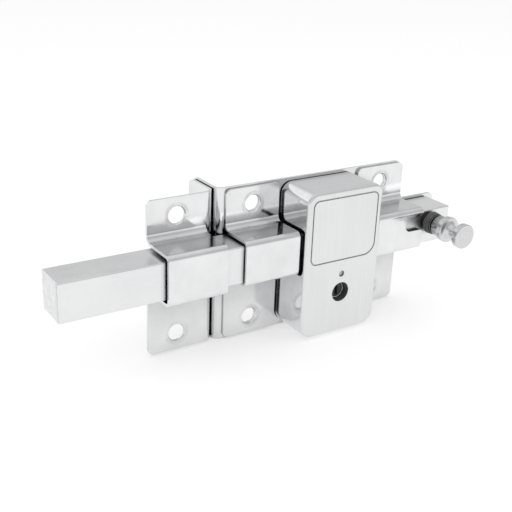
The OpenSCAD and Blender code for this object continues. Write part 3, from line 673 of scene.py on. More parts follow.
class NodePlan:
    """A geometry node tree that is written down step by step."""

    def __init__(self, name, sizes, counts=()):
        self.tree = bpy.data.node_groups.new(name, "GeometryNodeTree")
        sockets = [("Geometry", "NodeSocketGeometry")]
        sockets += [(label, "NodeSocketFloat") for label in sizes]
        sockets += [(label, "NodeSocketInt") for label in counts]
        sockets.append(("Finish", "NodeSocketMaterial"))
        for label, kind in sockets:
            self.tree.interface.new_socket(label, in_out="INPUT", socket_type=kind)
        self.tree.interface.new_socket("Geometry", in_out="OUTPUT",
                                       socket_type="NodeSocketGeometry")
        self.given = self.tree.nodes.new("NodeGroupInput").outputs
        self.result = self.tree.nodes.new("NodeGroupOutput").inputs[0]

    def feed(self, socket, value):
        """Links another node's output, or several, or sets a plain value."""
        if isinstance(value, bpy.types.NodeSocket):
            self.tree.links.new(value, socket)
        elif isinstance(value, list):
            for part in value:
                self.tree.links.new(part, socket)
        else:
            socket.default_value = value

    def add(self, kind, inputs=None, **settings):
        """Adds a node, sets it up and then feeds its inputs, by name or number."""
        made = self.tree.nodes.new(kind)
        for key, value in settings.items():
            setattr(made, key, value)
        for key, value in (inputs or {}).items():
            self.feed(made.inputs[key], value)
        return made

    def calc(self, operation, first, second=0.0):
        """One step of a sum; the three below are the steps that are used most."""
        return self.add("ShaderNodeMath", {0: first, 1: second}, operation=operation).outputs[0]

    def plus(self, first, second):
        return self.calc("ADD", first, second)

    def minus(self, first, second):
        return self.calc("SUBTRACT", first, second)

    def times(self, first, second):
        return self.calc("MULTIPLY", first, second)

    def point(self, x=0.0, y=0.0, z=0.0):
        return self.add("ShaderNodeCombineXYZ", {0: x, 1: y, 2: z}).outputs[0]

    def apart(self, vector):
        return self.add("ShaderNodeSeparateXYZ", {0: vector}).outputs

    def choice(self, kind, index, values):
        """The value whose number is the index."""
        switch = self.add("GeometryNodeIndexSwitch", data_type=kind)
        while len(switch.index_switch_items) < len(values):
            switch.index_switch_items.new()
        self.feed(switch.inputs[0], index)
        for number, value in enumerate(values, 1):
            self.feed(switch.inputs[number], value)
        return switch.outputs[0]

    def finish(self, mesh):
        """Makes copies real, puts the finish on and hands the mesh to the output."""
        real = self.add("GeometryNodeRealizeInstances", {"Geometry": mesh}).outputs[0]
        made = self.add("GeometryNodeSetMaterial",
                        {"Geometry": real, "Material": self.given["Finish"]})
        self.tree.links.new(made.outputs[0], self.result)


print("node kit ready for numbers and points")

# %% [markdown]
# On top of those come the steps that make shapes, each one line of a shop
# drawing: round these corners, draw this outline out, turn it on a lathe, cut
# this away, set copies there. A Screw modifier could turn an outline as well, but
# it can't take one from inside a tree. So spin bends a flat grid into the turned
# shape, and what it makes can be cut and copied by the next step.

# %% Outlines, blocks, cuts and turned shapes
class ShapePlan(NodePlan):
    """A plan that also knows the steps that make shapes."""

    def outline(self, corners, steps):
        """A closed line through corners, each given as x, y and the radius of its rounding."""
        ring = self.add("GeometryNodeCurvePrimitiveCircle", {"Resolution": len(corners)},
                        mode="RADIUS").outputs[0]
        index = self.add("GeometryNodeInputIndex").outputs[0]
        spots = self.choice("VECTOR", index, [self.point(x, y) for x, y, radius in corners])
        radii = self.choice("FLOAT", index, [radius for x, y, radius in corners])
        moved = self.add("GeometryNodeSetPosition",
                         {"Geometry": ring, "Position": spots}).outputs[0]
        return self.add("GeometryNodeFilletCurve",
                        {"Curve": moved, "Radius": radii, "Count": steps},
                        mode="POLY").outputs[0]

    def place(self, mesh, where):
        """Moves each point to where(x, y, z)."""
        here = self.add("GeometryNodeInputPosition").outputs[0]
        there = where(*self.apart(here))
        return self.add("GeometryNodeSetPosition",
                        {"Geometry": mesh, "Position": there}).outputs[0]

    def weld(self, mesh):
        """Joins points that lie on top of each other."""
        return self.add("GeometryNodeMergeByDistance",
                        {"Geometry": mesh, "Distance": weld_distance}).outputs[0]

    def block(self, outline, length, where):
        """Fills an outline, draws it out along its own z and lays it in the lock's frame."""
        flat = self.add("GeometryNodeFillCurve", {"Curve": outline}, mode="NGONS").outputs[0]
        drawn = self.add("GeometryNodeExtrudeMesh",
                         {"Mesh": flat, "Offset": self.point(0.0, 0.0, 1.0),
                          "Offset Scale": length, "Individual": False}, mode="FACES").outputs[0]
        base = self.add("GeometryNodeFlipFaces", {"Mesh": flat}).outputs[0]
        both = self.add("GeometryNodeJoinGeometry", {"Geometry": [drawn, base]}).outputs[0]
        return self.place(self.weld(both), where)

    def cut(self, mesh, *tools):
        """The mesh less what the tools cover."""
        return self.add("GeometryNodeMeshBoolean", {"Mesh 1": mesh, "Mesh 2": list(tools)},
                        operation="DIFFERENCE", solver="EXACT").outputs[0]

    def meet(self, *meshes, operation="INTERSECT"):
        """What all the meshes share or, with UNION, all of them as one."""
        return self.add("GeometryNodeMeshBoolean", {"Mesh 2": list(meshes)},
                        operation=operation, solver="EXACT").outputs[0]

    def spin(self, outline, turns):
        """Turns an outline of radius and depth round the y axis, as a lathe does.

        A flat grid has a column for each step of the turn and a row for each point of
        the outline. A grid point takes its angle from its column, and its radius and
        depth from its row.
        """
        size = self.add("GeometryNodeAttributeDomainSize", {0: outline},
                        component="CURVE").outputs["Point Count"]
        rows = self.add("FunctionNodeIntegerMath", {0: size, 1: 1}, operation="ADD").outputs[0]
        columns = self.add("FunctionNodeIntegerMath", {0: turns, 1: 1}, operation="ADD").outputs[0]
        grid = self.add("GeometryNodeMeshGrid",
                        {"Vertices X": columns, "Vertices Y": rows}).outputs[0]
        index = self.add("GeometryNodeInputIndex").outputs[0]
        column = self.calc("FLOOR", self.calc("DIVIDE", self.plus(index, 0.5), rows))
        row = self.calc("MODULO", self.minus(index, self.times(column, rows)), size)
        spot = self.add("GeometryNodeSampleIndex", {"Geometry": outline, "Index": row},
                        data_type="FLOAT_VECTOR", domain="POINT")
        self.feed(spot.inputs["Value"], self.add("GeometryNodeInputPosition").outputs[0])
        radius, depth = self.apart(spot.outputs[0])[:2]
        angle = self.times(self.calc("DIVIDE", column, turns), math.tau)
        place = self.point(self.times(radius, self.calc("COSINE", angle)),
                           self.times(depth, -1.0),
                           self.times(radius, self.calc("SINE", angle)))
        bent = self.add("GeometryNodeSetPosition",
                        {"Geometry": grid, "Position": place}).outputs[0]
        return self.weld(bent)

    def copies(self, points, mesh):
        """The mesh once on each point."""
        return self.add("GeometryNodeInstanceOnPoints",
                        {"Points": points, "Instance": mesh}).outputs[0]


print("node kit ready for shapes")

# %% Run a plan
def build(plan, name, finish, **sizes):
    """Runs a plan on an empty mesh and keeps the result as a plain mesh."""
    piece = bpy.data.objects.new(name, bpy.data.meshes.new(name))
    scene.collection.objects.link(piece)
    steps = piece.modifiers.new("plan", "NODES")
    steps.node_group = plan.tree
    wanted = {key.replace("_", " "): value for key, value in sizes.items()}
    for socket in plan.tree.interface.items_tree:
        if socket.in_out == "INPUT" and socket.name in wanted:
            steps[socket.identifier] = wanted.pop(socket.name)
        elif socket.in_out == "INPUT" and socket.name == "Finish":
            steps[socket.identifier] = finish
    assert not wanted, wanted
    bake_modifiers(piece)
    body = bmesh.new()
    body.from_mesh(piece.data)
    bmesh.ops.remove_doubles(body, verts=body.verts, dist=weld_distance)
    bmesh.ops.recalc_face_normals(body, faces=body.faces)
    body.to_mesh(piece.data)
    body.free()
    return piece


print("plans can be run")

# %% [markdown]
# ## The folded bridges
# Guides and strike are pressed from 2 mm strip: flange, bend, web, shoulder,
# front wall and back again, with the same thickness all along. A Solidify on a
# folded strip would thin the inner bends. Here the tree draws the real section,
# both skins of the strip, with each inner radius one sheet smaller than the
# outer one. It draws the section out past the strip's width, keeps what lies
# inside the flat blank's outline, which rounds the corners, and punches holes.

# %% The folded bridge's plan
bridge_sizes = ["left", "right", "top", "bottom", "back", "front", "over", "under", "bar height",
                "sheet", "foot radius", "shoulder radius", "left corner", "right corner",
                "hole radius", "hole rise", "hole break", "hole x", "notch end", "notch height",
                "notch z", "notch mouth", "bend radius", "return depth", "bend corner"]
spare = 2 * mm  # how far a tool or a blank reaches past the piece


def folded_bridge_plan():
    """A strip of sheet folded over the bar, its corners rounded and its bolt holes punched.

    The section's own coordinates are the depth to the front, and the height over the
    bar's middle.
    """
    plan = ShapePlan("folded bridge", bridge_sizes, ["arc steps"])
    g = plan.given
    steps = g["arc steps"]
    flange_front = plan.plus(g["back"], g["sheet"])
    top = plan.plus(plan.minus(g["top"], g["bar height"]), spare)
    bottom = plan.minus(plan.minus(g["bottom"], g["bar height"]), spare)
    over, under = g["over"], plan.times(g["under"], -1.0)
    inner_over, inner_under = plan.minus(over, g["sheet"]), plan.plus(under, g["sheet"])
    inner_front = plan.minus(g["front"], g["sheet"])
    foot_out = plan.plus(g["foot radius"], g["sheet"])
    shoulder_in = plan.minus(g["shoulder radius"], g["sheet"])
    profile = plan.outline([
        (flange_front, top, 0.0), (flange_front, over, g["foot radius"]),
        (g["front"], over, g["shoulder radius"]), (g["front"], under, g["shoulder radius"]),
        (flange_front, under, g["foot radius"]), (flange_front, bottom, 0.0),
        (g["back"], bottom, 0.0), (g["back"], inner_under, foot_out),
        (inner_front, inner_under, shoulder_in), (inner_front, inner_over, shoulder_in),
        (g["back"], inner_over, foot_out), (g["back"], top, 0.0)], steps)
    width = plan.plus(plan.minus(g["right"], g["left"]), 2 * spare)
    folded = plan.block(profile, width, lambda u, v, w: plan.point(
        plan.minus(plan.plus(g["right"], spare), w), plan.times(u, -1.0),
        plan.plus(v, g["bar height"])))

    blank = plan.outline([
        (g["left"], g["top"], g["left corner"]), (g["left"], g["bottom"], g["left corner"]),
        (g["right"], g["bottom"], g["right corner"]), (g["right"], g["top"], g["right corner"])],
        steps)
    deep = plan.plus(plan.minus(g["front"], g["back"]), 2 * spare)
    stock = plan.block(blank, deep, lambda u, v, w: plan.point(
        u, plan.minus(spare, plan.plus(w, g["back"])), v))
    trimmed = plan.meet(folded, stock)

    half = plan.times(g["hole rise"], 0.5)
    pair = plan.add("GeometryNodeMeshLine",
                    {"Count": 2, "Start Location": plan.point(g["hole x"], 0.0, half),
                     "Offset": plan.point(g["hole x"], 0.0, plan.times(half, -1.0))},
                    mode="END_POINTS").outputs[0]
    rim = plan.minus(flange_front, g["hole break"])
    lip = plan.plus(flange_front, 0.01 * mm)
    past = plan.plus(lip, spare)
    wide = plan.plus(g["hole radius"], g["hole break"])
    punch = plan.spin(plan.outline([
        (0.0, -spare, 0.0), (g["hole radius"], -spare, 0.0), (g["hole radius"], rim, 0.0),
        (wide, lip, 0.0), (wide, past, 0.0), (0.0, past, 0.0)], 1), 64)
    punches = plan.add("GeometryNodeRealizeInstances",
                       {"Geometry": plan.copies(pair, punch)}).outputs[0]
    return plan, plan.cut(trimmed, punches)


print("bridge plan ready with", len(bridge_sizes), "sizes")

# %% [markdown]
# Two pieces have something more. The right guide has a U-shaped notch for the
# knob's stud, and the strike ends in a bend and a flange that laps round the
# edge of the door's frame. Both are tools for the same plan: one cuts, the other
# is joined on. Added by hand to a finished mesh they would have to be made again
# for each new size.

# %% The notch and the return flange
def notch_tool(plan):
    """What cuts the U-shaped notch with its two rounded mouth corners."""
    g = plan.given
    tool_length, tool_front = 10 * mm, 4 * mm
    half = plan.times(g["notch height"], 0.5)
    low = plan.times(half, -1.0)
    start = plan.minus(g["notch end"], half)
    flare = plan.plus(g["notch mouth"], 1 * mm)
    mouth_top, mouth_bottom = plan.plus(half, flare), plan.minus(low, flare)
    past = plan.plus(g["right"], spare)
    round_end = plan.times(half, 0.999)
    shape = plan.outline([
        (start, half, round_end), (start, low, round_end), (g["right"], low, g["notch mouth"]),
        (g["right"], mouth_bottom, 0.0), (past, mouth_bottom, 0.0), (past, mouth_top, 0.0),
        (g["right"], mouth_top, 0.0), (g["right"], half, g["notch mouth"])], g["arc steps"])
    return plan.block(shape, tool_length, lambda u, v, w: plan.point(
        u, plan.minus(tool_front, plan.plus(w, g["front"])), plan.plus(v, g["notch z"])))


def return_bend(plan):
    """The bend and the flange at the strike's right end, with the flange's corners rounded."""
    g = plan.given
    stock_front, stock_half = -10 * mm, 20 * mm
    edge, out = g["right"], plan.plus(g["right"], g["bend radius"])
    inside = plan.minus(out, g["sheet"])
    far = plan.plus(g["return depth"], spare)
    face = plan.times(g["sheet"], -1.0)
    inner_radius = plan.minus(g["bend radius"], g["sheet"])
    shape = plan.outline([
        (edge, face, 0.0), (out, face, g["bend radius"]), (out, far, 0.0), (inside, far, 0.0),
        (inside, 0.0, inner_radius), (edge, 0.0, 0.0)], g["arc steps"])
    height = plan.plus(plan.minus(g["top"], g["bottom"]), 2 * spare)
    tall = plan.block(shape, height, lambda u, v, w: plan.point(
        u, v, plan.plus(plan.minus(w, spare), g["bottom"])))
    limit = plan.outline([
        (stock_front, g["bottom"], 0.0), (stock_front, g["top"], 0.0),
        (g["return depth"], g["top"], g["bend corner"]),
        (g["return depth"], g["bottom"], g["bend corner"])], g["arc steps"])
    stock = plan.block(limit, 2 * stock_half, lambda u, v, w: plan.point(
        plan.plus(plan.minus(w, stock_half), edge), u, v))
    return plan.meet(tall, stock)


print("notch and bend ready")

# %% Build the guides and the strike
sheet, foot_radius, shoulder_radius = 2 * mm, 4.5 * mm, 4 * mm
flange_corner, sheet_roll = 4 * mm, 0.45 * mm
bolt_radius, bolt_break = 5.75 * mm, 0.6 * mm
bar_z, bar_half = (bar_low.z + bar_high.z) / 2, (bar_high.z - bar_low.z) / 2


def build_bridge(node, name, body, finish, over, under, flat=0.0, extra=None, **sizes):
    """Folds a bridge that fills its node's box, with its gaps over and under the bar.

    flat is the width of the bend beside the bridge, and extra changes its shape.
    """
    low, high = span(node)[:2]
    right = high.x - flat
    plan, made = folded_bridge_plan()
    if extra is not None:
        made = extra(plan, made)
    plan.finish(made)
    piece = build(plan, name, finish, left=low.x, right=right, top=high.z, bottom=low.z,
                  back=0.0 if flat else -high.y, front=-low.y, over=bar_half + over + sheet,
                  under=bar_half + under + sheet, bar_height=bar_z, sheet=sheet,
                  foot_radius=foot_radius, shoulder_radius=shoulder_radius,
                  left_corner=flange_corner, right_corner=0.0 if flat else flange_corner,
                  hole_radius=bolt_radius, hole_rise=2 * bolt_z, hole_break=bolt_break,
                  hole_x=(low.x + right) / 2, arc_steps=14, **sizes)
    hand_over(round_edges(piece, sheet_roll, 3), node, body, finish)


build_bridge("left_guide", "left_guide_sheet", "lock_frame", lock_chrome,
             over=1.2 * mm, under=0.4 * mm)
build_bridge("right_guide", "right_guide_sheet", "lock_frame", lock_chrome,
             over=1.2 * mm, under=0.4 * mm,
             extra=lambda plan, made: plan.cut(made, notch_tool(plan)),
             notch_end=63.45 * mm, notch_height=10.6 * mm, notch_z=knob_mid.z + 1.1 * mm,
             notch_mouth=2.5 * mm)
build_bridge("strike", "strike_sheet", "frame_strike", strike_chrome,
             over=2.2 * mm, under=2.2 * mm, flat=strike_bend,
             extra=lambda plan, made: plan.meet(made, return_bend(plan), operation="UNION"),
             bend_radius=strike_bend, return_depth=30 * mm, bend_corner=5 * mm)

# %% [markdown]
# ## Solids that are kept
# Some pieces are right as the CAD has them: the base plate with its many small
# countersinks, the bar with its pockets, the case with its panel line. Their
# solids are copied, the loose triangles are merged and flat ones are dissolved
# into whole faces, and the same edge step finishes them.

# %% Copy a solid
def clean_copy(node, name):
    """A node's own mesh, with its loose triangles merged into whole faces."""
    copied = frame["nodes"][node].data.copy()
    copied.name = name
    copied.materials.clear()
    body = bmesh.new()
    body.from_mesh(copied)
    bmesh.ops.remove_doubles(body, verts=body.verts, dist=2 * weld_distance)
    bmesh.ops.dissolve_limit(body, angle_limit=math.radians(0.4), verts=body.verts,
                             edges=body.edges)
    body.to_mesh(copied)
    body.free()
    piece = bpy.data.objects.new(name, copied)
    scene.collection.objects.link(piece)
    return piece


plate = round_edges(clean_copy("base_plate", "base_plate_sheet"), sheet_roll, 3)
hand_over(plate, "base_plate", "lock_frame", lock_chrome)
bar = round_edges(clean_copy("lock_bar", "square_bar"), 0.3 * mm, 3, from_angle=40)
hand_over(bar, "lock_bar", "sliding_bar", bar_finish)

# %% [markdown]
# ## The case
# The cover is drawn from sheet, so the edge of its front is a soft roll of two
# millimetres, and its cut edges are crisp. Bevel can take its width from a
# weight on each edge. The front is brushed upright, the top and bottom are
# satin, the sides are left bright, and the panel line and the dimple are
# engraved. So the faces get four finishes, by where they are and which way they
# look.

# %% Round the case and give it its finishes
case_low, case_high, case_mid = span("lock_case")
case_half = (case_high - case_low) / 2
lower_corner, upper_corner = 9.5 * mm, 8 * mm
front_roll, cut_roll, line_roll = 2.2 * mm, 0.3 * mm, 0.12 * mm
panel_margin, keyhole_reach = 3 * mm, 8 * mm  # from the outline, and from the plug's axis
front_finish, top_finish, side_finish, line_finish = range(4)


def off_outline(x, z):
    """How far a place lies inside the case's rounded front outline."""
    corner = lower_corner if z < case_mid.z else upper_corner
    x = abs(x - case_mid.x) - case_half.x + corner
    z = abs(z - case_mid.z) - case_half.z + corner
    if x > 0 and z > 0:
        return corner - math.hypot(x, z)
    return corner - max(x, z)


def case_weights(data):
    """Gives each edge its share of the front's roll, by where the edge lies."""
    data.attributes.new("bevel_weight_edge", "FLOAT", "EDGE")
    body = bmesh.new()
    body.from_mesh(data)
    layer = body.edges.layers.float.get("bevel_weight_edge")
    for edge in body.edges:
        if len(edge.link_faces) != 2 or edge.calc_face_angle(0) < math.radians(40):
            continue
        middle = (edge.verts[0].co + edge.verts[1].co) / 2
        inside, depth = off_outline(middle.x, middle.z), middle.y - case_low.y
        if depth < 0.05 * mm and inside < 0.3 * mm:
            edge[layer] = 1.0
        elif depth < 1.4 * mm and inside > panel_margin:
            edge[layer] = line_roll / front_roll
        else:
            edge[layer] = cut_roll / front_roll
    body.to_mesh(data)
    body.free()


def case_finish_number(face):
    """Which of the case's four finishes a face gets."""
    depth, inside = face.center.y - case_low.y, off_outline(face.center.x, face.center.z)
    from_key = math.hypot(face.center.x - plug_mid.x, face.center.z - plug_mid.z)
    if 0.1 * mm < depth < 1.6 * mm and inside > panel_margin and from_key > keyhole_reach:
        return line_finish
    if face.normal.y < -0.35 or face.normal.y > 0.6:
        return front_finish
    return top_finish if abs(face.normal.z) > 0.93 else side_finish


case = round_edges(clean_copy("lock_case", "case_cover"), front_roll, 6, weigh=case_weights)
for finish in (case_front, case_top, case_side, engraved):
    case.data.materials.append(finish)
for face in case.data.polygons:
    face.material_index = case_finish_number(face)
hand_over(case, "lock_case", "lock_frame", case_front)

# %% [markdown]
# ## The turned pieces on the bar
# The knob, its washer and the ribbed rubber buffer all came off a lathe, or out
# of a mould that did. A lathe's rule is one half outline spun round an axis, and
# every corner of the outline has its own rounding, down to the hollow flank
# behind the button, whose quarter round is simply the largest rounding of all.

# %% The knob
def turned_plan(name, sizes, corners_of):
    """Spins an outline and sets it on the axis, with its own zero at the back."""
    plan = ShapePlan(name, [*sizes, "axis x", "axis z", "back"], ["arc steps", "turns"])
    g = plan.given
    shape = plan.outline(corners_of(plan, g), g["arc steps"])
    plan.finish(plan.place(plan.spin(shape, g["turns"]), lambda x, y, z: plan.point(
        plan.plus(x, g["axis x"]), plan.minus(y, g["back"]), plan.plus(z, g["axis z"]))))
    return plan


def knob_corners(plan, g):
    """Seat, back, barrel, neck, collar and button, each corner with its own rounding."""
    seat_radius, seat_length, back_length, cone_length = 5.5 * mm, 1.5 * mm, 8 * mm, 0.8 * mm
    collar_length, collar_inset, groove_inset = 1 * mm, 1.5 * mm, 1.9 * mm
    flank = plan.minus(g["barrel radius"], plan.plus(g["neck radius"], 0.8 * mm))
    button_back = plan.minus(g["length"], g["button thickness"])
    collar_back = plan.minus(button_back, collar_length)
    return [(0.0, 0.0, 0.0),
            (seat_radius, 0.0, 0.15 * mm),
            (seat_radius, seat_length, 0.15 * mm),
            (g["back radius"], seat_length, 0.7 * mm),
            (g["back radius"], back_length, 0.25 * mm),
            (g["barrel radius"], back_length + cone_length, 0.4 * mm),
            (g["barrel radius"], g["barrel length"], 0.8 * mm),
            (g["neck radius"], g["barrel length"], flank),
            (g["neck radius"], collar_back, 0.4 * mm),
            (plan.minus(g["button radius"], collar_inset), collar_back, 0.2 * mm),
            (plan.minus(g["button radius"], groove_inset), button_back, 0.1 * mm),
            (g["button radius"], button_back, 0.7 * mm),
            (g["button radius"], g["length"], 0.75 * mm),
            (0.0, g["length"], 0.0)]


knob_plan = turned_plan("turned knob",
                        ["length", "back radius", "barrel radius", "barrel length", "neck radius",
                         "button radius", "button thickness"], knob_corners)
knob = build(knob_plan, "turned_knob", knob_finish, length=knob_high.y - knob_low.y,
             back_radius=7.5 * mm, barrel_radius=9.2 * mm, barrel_length=12.9 * mm,
             neck_radius=4 * mm, button_radius=8.8 * mm, button_thickness=4.6 * mm,
             axis_x=knob_mid.x, axis_z=knob_mid.z, back=-knob_high.y, arc_steps=8, turns=128)
smooth_by_angle(knob)
hand_over(knob, "pull_knob", "sliding_bar", knob_finish)

# %% The washer and the ribbed buffer
washer_low, washer_high = span("knob_washer")[:2]
buffer_low, buffer_high = span("knob_buffer")[:2]
stud_radius, rib_count, rib_depth, end_sink = 4 * mm, 4, 0.45 * mm, 0.3
rib_stations = ((0.0, 1), (0.22, 0), (0.78, 0))  # share of a rib's length, and how far sunk


def ring_corners(plan, g):
    """A flat ring, a little rounder outside than inside."""
    return [(g["inner radius"], 0.0, 0.1 * mm), (g["outer radius"], 0.0, 0.25 * mm),
            (g["outer radius"], g["length"], 0.25 * mm), (g["inner radius"], g["length"], 0.1 * mm)]


def buffer_corners(plan, g):
    """Ribs by a loop: a valley and a crest for each, on a line that tapers to the front."""
    corners = [(g["inner radius"], 0.0, 0.0)]
    for number in range(rib_count):
        for station, sunk in rib_stations:
            share = (number + station) / rib_count
            if share == 0.0:
                sunk = end_sink
            radius = plan.plus(plan.times(g["outer radius"], 1 - share),
                               plan.times(g["front radius"], share))
            corners.append((plan.minus(radius, sunk * rib_depth),
                            plan.times(g["length"], share), 0.12 * mm))
    corners.append((plan.minus(g["front radius"], end_sink * rib_depth), g["length"], 0.1 * mm))
    corners.append((g["inner radius"], g["length"], 0.0))
    return corners


washer_plan = turned_plan("turned ring", ["length", "inner radius", "outer radius"], ring_corners)
washer = build(washer_plan, "knob_ring", knob_finish, length=washer_high.y - washer_low.y,
               inner_radius=stud_radius, outer_radius=(washer_high.x - washer_low.x) / 2,
               axis_x=knob_mid.x, axis_z=knob_mid.z, back=-washer_high.y, arc_steps=4, turns=96)
smooth_by_angle(washer)
hand_over(washer, "knob_washer", "sliding_bar", knob_finish)

buffer_plan = turned_plan("ribbed buffer",
                          ["length", "inner radius", "outer radius", "front radius"],
                          buffer_corners)
buffer = build(buffer_plan, "ribbed_buffer", rubber, length=buffer_high.y - buffer_low.y,
               inner_radius=stud_radius, outer_radius=(buffer_high.x - buffer_low.x) / 2,
               front_radius=7.7 * mm, axis_x=knob_mid.x, axis_z=knob_mid.z, back=-buffer_high.y,
               arc_steps=4, turns=96)
smooth_by_angle(buffer, 50)
hand_over(buffer, "knob_buffer", "sliding_bar", rubber)
stud = round_edges(clean_copy("knob_stud", "knob_shank"), 0.3 * mm, 3, from_angle=40)
hand_over(stud, "knob_stud", "sliding_bar", plain_steel)

# %% [markdown]
# ## The cylinder behind the keyhole
# Through the round hole only the end of the key cylinder shows, painted black for
# the shade in the hole, with a painted highlight on the plug's rim as a thin bright
# arc. Only the faces near the front get the black finish, which has the rim in its
# own nodes; farther in, the brass stays bare.

# %% The cylinder and the plug
# Faces this near the front get the black painted for the keyhole's shade.
painted_black_depth = 12 * mm
for node, name, body in (("cylinder_body", "key_cylinder", "lock_frame"),
                         ("key_plug", "turning_plug", "plug")):
    piece = round_edges(clean_copy(node, name), 0.2 * mm, 2, from_angle=40)
    piece.data.materials.append(brass_finish)
    piece.data.materials.append(painted_black)
    front = min(v.co.y for v in piece.data.vertices)
    for face in piece.data.polygons:
        face.material_index = 1 if face.center.y < front + painted_black_depth else 0
    hand_over(piece, node, body, brass_finish)

# %% [markdown]
# ## Screws, rivets, springs and tumblers
# These are the pieces that repeat. Each kind is one tree: it makes one screw or
# one spring and sets copies of it on points, and its inputs are the sizes that
# a hardware catalogue would list. The slot of a screw is a cut with a thin block.

# %% Slotted screws and rivets
def fastener_plan(name, sizes, corners_of, slotted):
    """One screw or rivet, spun from its outline, on each point of a grid."""
    plan = ShapePlan(name, [*sizes, "middle x", "middle z", "space x", "space z", "slot width",
                            "slot depth", "slot at"], ["arc steps", "turns", "across", "upward"])
    g = plan.given
    slot_length = 30 * mm
    one = plan.spin(plan.outline(corners_of(plan, g), g["arc steps"]), g["turns"])
    if slotted:
        block_size = plan.point(slot_length, plan.times(g["slot depth"], 2.0), g["slot width"])
        bit = plan.add("GeometryNodeMeshCube", {"Size": block_size}).outputs[0]
        one = plan.cut(one, plan.place(bit, lambda x, y, z: plan.point(
            x, plan.minus(y, g["slot at"]), z)))
    grid = plan.add("GeometryNodeMeshGrid",
                    {"Size X": g["space x"], "Size Y": g["space z"],
                     "Vertices X": g["across"], "Vertices Y": g["upward"]}).outputs[0]
    spots = plan.place(grid, lambda x, y, z: plan.point(
        plan.plus(x, g["middle x"]), 0.0, plan.plus(y, g["middle z"])))
    plan.finish(plan.copies(spots, one))
    return plan


def countersunk_corners(plan, g):
    """A cone as thick as the sheet that it sinks into, and a shank."""
    return [(0.0, 0.0, 0.0), (g["head radius"], 0.0, 0.1 * mm),
            (g["shank radius"], sheet, 0.1 * mm),
            (g["shank radius"], g["length"], 0.5 * mm), (0.0, g["length"], 0.0)]


def rivet_corners(plan, g):
    """A sunk head at the back, a shank, and the head that is formed at the front."""
    formed = plan.minus(g["length"], 1.2 * mm)
    return [(0.0, 0.0, 0.0), (g["head radius"], 0.0, 0.1 * mm),
            (g["shank radius"], sheet, 0.1 * mm), (g["shank radius"], formed, 0.0),
            (g["head radius"], formed, 0.1 * mm),
            (plan.minus(g["head radius"], 0.7 * mm), g["length"], 0.5 * mm),
            (0.0, g["length"], 0.0)]


def pan_corners(plan, g):
    """A shank that ends inside, and a low round-edged head at the front."""
    return [(0.0, g["shank back"], 0.0), (g["shank radius"], g["shank back"], 0.3 * mm),
            (g["shank radius"], g["head back"], 0.0), (g["head radius"], g["head back"], 0.15 * mm),
            (g["head radius"], g["length"], 0.6 * mm), (0.0, g["length"], 0.0)]


fastener_sizes = ["head radius", "shank radius", "length"]
slot_width, slot_depth = 1 * mm, 0.8 * mm
print("fastener plans ready")

# %% The case's screws
low, high, middle = span("case_screws")
head = 4.4 * mm
screw_plan = fastener_plan("countersunk screws", fastener_sizes, countersunk_corners, True)
screws = build(screw_plan, "case_screw_set", plain_steel, head_radius=head, shank_radius=2.1 * mm,
               length=-low.y, middle_x=middle.x, middle_z=middle.z,
               space_x=high.x - low.x - 2 * head, space_z=high.z - low.z - 2 * head,
               slot_width=slot_width, slot_depth=slot_depth, slot_at=0.0,
               arc_steps=3, turns=48, across=2, upward=2)
smooth_by_angle(screws)
hand_over(screws, "case_screws", "lock_frame", plain_steel)

# %% The rivets of the dog's rails
low, high, middle = span("rail_rivets")
head = 3 * mm
rivet_plan = fastener_plan("rail rivets", fastener_sizes, rivet_corners, False)
rivets = build(rivet_plan, "rail_rivet_set", plain_steel, head_radius=head,
               shank_radius=1.8 * mm, length=-low.y, middle_x=middle.x, middle_z=middle.z,
               space_x=high.x - low.x - 2 * head, space_z=high.z - low.z - 2 * head,
               arc_steps=3, turns=40, across=2, upward=2)
smooth_by_angle(rivets)
hand_over(rivets, "rail_rivets", "lock_frame", plain_steel)

# %% The screws of the cylinder's plate
low, high, middle = span("plate_screws")
head, head_height = 3.6 * mm, 2.4 * mm
pan_plan = fastener_plan("pan head screws", [*fastener_sizes, "shank back", "head back"],
                         pan_corners, True)
pans = build(pan_plan, "plate_screw_set", plain_steel, head_radius=head, shank_radius=1.9 * mm,
             length=-low.y, shank_back=-high.y, head_back=-low.y - head_height,
             middle_x=middle.x, middle_z=middle.z, space_x=high.x - low.x - 2 * head, space_z=0.0,
             slot_width=slot_width, slot_depth=slot_depth, slot_at=-low.y,
             arc_steps=3, turns=40, across=2, upward=1)
smooth_by_angle(pans)
hand_over(pans, "plate_screws", "lock_frame", plain_steel)

# %% [markdown]
# The springs are wire on a helix, and the tumblers are short pins with rounded
# ends. Both stand upright in a row along the cylinder, so their trees place
# them on a line of points. Every second key pin is shorter, as the key is cut.

# %% Springs
def row_plan(name, sizes, make_one, scale_of=None):
    """Copies of one upright piece on a line of points along the cylinder."""
    plan = ShapePlan(name, [*sizes, "first y", "pitch", "axis x", "low z"],
                     ["arc steps", "turns", "count"])
    g = plan.given
    line = plan.add("GeometryNodeMeshLine",
                    {"Count": g["count"], "Offset": plan.point(0.0, g["pitch"], 0.0),
                     "Start Location": plan.point(g["axis x"], g["first y"], g["low z"])})
    placed = plan.add("GeometryNodeInstanceOnPoints",
                      {"Points": line.outputs[0], "Instance": make_one(plan, g)})
    if scale_of is not None:
        plan.feed(placed.inputs["Scale"], scale_of(plan, g))
    plan.finish(placed.outputs[0])
    return plan


